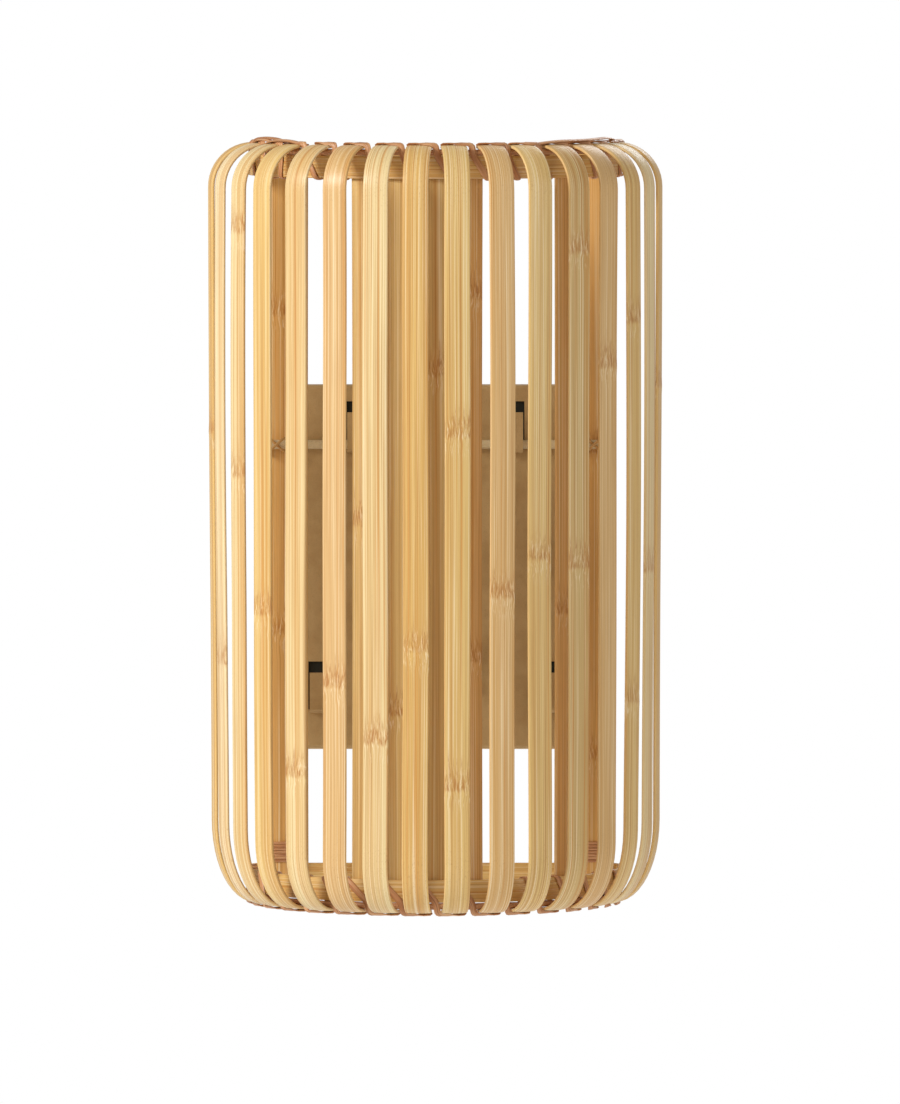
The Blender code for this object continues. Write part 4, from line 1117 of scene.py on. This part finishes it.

# %% [markdown]
# ## Painted-shade pads behind the hooks
#
# Where a hook is punched out of the plate, a window stays open. A dark pad closes each window from behind as
# painted shade: it stands in for the shadow inside the plate. A plain block does for each, since only a dark
# patch shows through the window.

# %% Fit the hook pads
sheet_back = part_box("wall_plate")[0].y + 7.4 * MM
half_width, half_tall, thick = 6.5 * MM, 13.5 * MM, 3 * MM
# Each pad: where it is, and its middle's distance across and up from the middle of the plate, in mm.
SHADE_PADS = [
    ("upper_left", -35, 62), ("upper_right", 35, 62),
    ("lower_left", -51.5, -52), ("lower_right", 51.5, -52),
]
# Each pad is a dark block of painted shade, where the window shows only the shadow behind the plate.
for where, across, up in SHADE_PADS:
    low = (across * MM - half_width, sheet_back, up * MM - half_tall)
    high = (across * MM + half_width, sheet_back + thick, up * MM + half_tall)
    rounded_block("hook_shade_pad_" + where, low, high, 0.8 * MM, painted_shade_foam)
print("hook pads:", len(SHADE_PADS))

# %% [markdown]
# ## Wiring
#
# A brown and a blue wire go down from the block to the holder, and the striped earth wire to a screw on the
# plate. They could be bent by a cloth or rope simulation, but wires this short hardly sag. Each is a smooth
# curve that leaves and arrives along the right direction and keeps the measured wire's ends.

# %% Run the wires
def drooping(start, leave, arrive, end):
    """A wire's line: it leaves along one direction and arrives along another."""
    a, b, c, d = start, start + leave, end + arrive, end
    t = np.linspace(0, 1, 34)[:, None]
    return (1 - t) ** 3 * a + 3 * (1 - t) ** 2 * t * b + 3 * (1 - t) * t * t * c + t**3 * d


# Each wire: its finish and slot, how it leaves and arrives in mm, the axis and the reach in mm that pick out
# the measured wire's far end, and the side that its stripe is counted from.
WIRES = {
    "live": (brown_wire, "brown_insulation", (0, 0, -16), (0, 14, 0), 1, 0.4, (1.0, 0.3, 0)),
    "neutral": (blue_wire, "blue_insulation", (0, 0, -16), (0, 14, 0), 1, 0.4, (1.0, 0.3, 0)),
    "earth": (earth_wire, "green_insulation", (0, 0, -8), (0, 0, 8), 2, 0.3, (0.3, 1.0, 0)),
}
for name, (finish, slot, leave, arrive, far_axis, reach, facing) in WIRES.items():
    points = np.array([corner.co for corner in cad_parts["wire_" + name].data.vertices])
    top = points[points[:, 2] > points[:, 2].max() - 0.4 * MM].mean(0)
    last = points[points[:, far_axis] < points[:, far_axis].min() + reach * MM].mean(0)
    line = drooping(top, np.array(leave) * MM, np.array(arrive) * MM, last)
    outward = all_facing(facing, len(line))
    lay_round(f"wire_{name}_covering", line, outward, circle(1 * MM, 14), finish, "wall_unit",
              ["wire_" + name])
    print(name, "wire", round(length_along(line)[-1] / MM), "mm long")

# %% [markdown]
# ## Pieces that keep their measured shape
#
# The plate, the bracket, the arm and the small fasteners are already right in shape. Pressed steel has
# slightly rounded edges, though, which catch a thin line of light. A Weld modifier joins the points that the
# file keeps apart and a small Bevel rounds the edges, and neither touches the measured mesh itself.

# %% Finish the measured pieces
KEPT = {
    "wall_plate": (tan_coat, 0.22), "lamp_arm": (tan_coat, 0.25),
    "wall_bracket": (zinc, 0.2), "plate_spacer_top": (zinc, 0.15), "plate_spacer_bottom": (zinc, 0.15),
    "plate_screw_top": (zinc, 0.15), "plate_screw_bottom": (zinc, 0.15), "earth_screw": (brass, 0.15),
    "arm_rivet_left": (zinc, 0.15), "arm_rivet_right": (zinc, 0.15), "holder_nut": (zinc, 0.3),
    "holder_insert": (brass, 0.1), "holder_contact": (brass, 0.15),
}
for name, (finish, edge) in KEPT.items():
    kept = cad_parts[name]
    if not kept.material_slots:
        kept.data.materials.append(finish)
    for holder in kept.material_slots:
        holder.material = finish
    weld = kept.modifiers.new("joined_points", "WELD")
    weld.merge_threshold = 0.002 * MM
    ease = kept.modifiers.new("eased_edges", "BEVEL")
    ease.width, ease.segments = edge * MM, 2
    ease.limit_method, ease.angle_limit = "ANGLE", radians(40)
    ease.harden_normals = True
left_over = [name for name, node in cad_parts.items() if not node.hide_render and name not in KEPT]
print("measured pieces kept:", len(KEPT), "and not finished:", left_over)

# %% [markdown]
# ## The studio
#
# The light hangs on a wall, but a wall behind it would hide its back, so only a pale floor lies below. A
# large soft lamp at the upper left does most of the work, a weak one on the right opens the shadows, and the
# surroundings are white to look at but dimmer as a source of light, so that the slats keep their modelling.

# %% Lay the floor
def pale_floor(height, radius):
    mesh, corners = bpy.data.meshes.new("floor"), 96
    rim = [(radius * cos(t), radius * sin(t), height) for t in np.linspace(0, 2 * pi, corners + 1)[:-1]]
    mesh.from_pydata(rim, [], [tuple(range(corners))])
    finish, shader = surface("pale_floor", Roughness=0.8, Emission_Color=(1, 1, 1, 1), Emission_Strength=0.12)
    cloud = cloudy(finish, own_place(finish), (3, 3, 3), 3.0)
    join(finish, shader, Base_Color=blended(finish, cloud, (0.90, 0.90, 0.89, 1), (0.93, 0.93, 0.92, 1)))
    mesh.materials.append(finish)
    made = bpy.data.objects.new("floor", mesh)
    bpy.context.scene.collection.objects.link(made)
    return made


pale_floor(height=-0.62, radius=3.4)
print("floor laid")

# %% Hang the lights
def soft_lamp(name, place, aim, size, power, colour=(1, 1, 1)):
    light = bpy.data.lights.new(name, "AREA")
    light.shape, light.size, light.energy, light.color = "DISK", size, power, colour
    made = bpy.data.objects.new(name, light)
    made.location = place
    made.rotation_euler = (Vector(aim) - Vector(place)).to_track_quat("-Z", "Y").to_euler()
    bpy.context.scene.collection.objects.link(made)
    return made


middle = (0, shade_middle_y, shade_middle_z)
soft_lamp("key", (-2.07, -1.42, 1.28), middle, size=0.9, power=62, colour=(1.0, 0.985, 0.955))
soft_lamp("fill", (1.9, -1.5, 0.5), middle, size=1.4, power=9)
soft_lamp("back_light", (0.9, 2.2, 1.4), middle, size=1.2, power=16)
print("lights: 3")

# %% Light the surroundings
surroundings = bpy.data.worlds.new("studio_white")
bpy.context.scene.world = surroundings
surroundings.use_nodes = True
tree = surroundings.node_tree
sky = tree.nodes["Background"]
sky.inputs["Color"].default_value = (1, 1, 1, 1)
seen = tree.nodes.new("ShaderNodeLightPath").outputs["Is Camera Ray"]
strength = tree.nodes.new("ShaderNodeMapRange")
strength.inputs["To Min"].default_value = 0.38
strength.inputs["To Max"].default_value = 1.0
tree.links.new(seen, strength.inputs["Value"])
tree.links.new(strength.outputs[0], sky.inputs["Strength"])
bpy.context.scene.view_settings.view_transform = "Standard"
print("surroundings: 0.38 as a light, 1.0 to look at")

# %% [markdown]
# ## The camera
#
# A long lens from far away keeps the two sides of the shade nearly parallel, as in a catalogue. It looks
# very slightly down, so the top rim shows as a thin line.

# %% Set up the camera
distance, elevation, film_width, view_width = 5.8, radians(3), 36, 0.483
aim = Vector((6.5 * MM, shade_middle_y, shade_middle_z - 13.7 * MM))
camera = bpy.data.objects.new("camera", bpy.data.cameras.new("camera"))
camera.data.sensor_width = film_width
camera.data.lens = film_width * distance / view_width
camera.data.clip_end = 100
camera.location = aim + distance * Vector((0, -cos(elevation), sin(elevation)))
camera.rotation_euler = (aim - camera.location).to_track_quat("-Z", "Y").to_euler()
bpy.context.scene.collection.objects.link(camera)
bpy.context.scene.camera = camera
print("lens", round(camera.data.lens), "mm from", distance, "m")
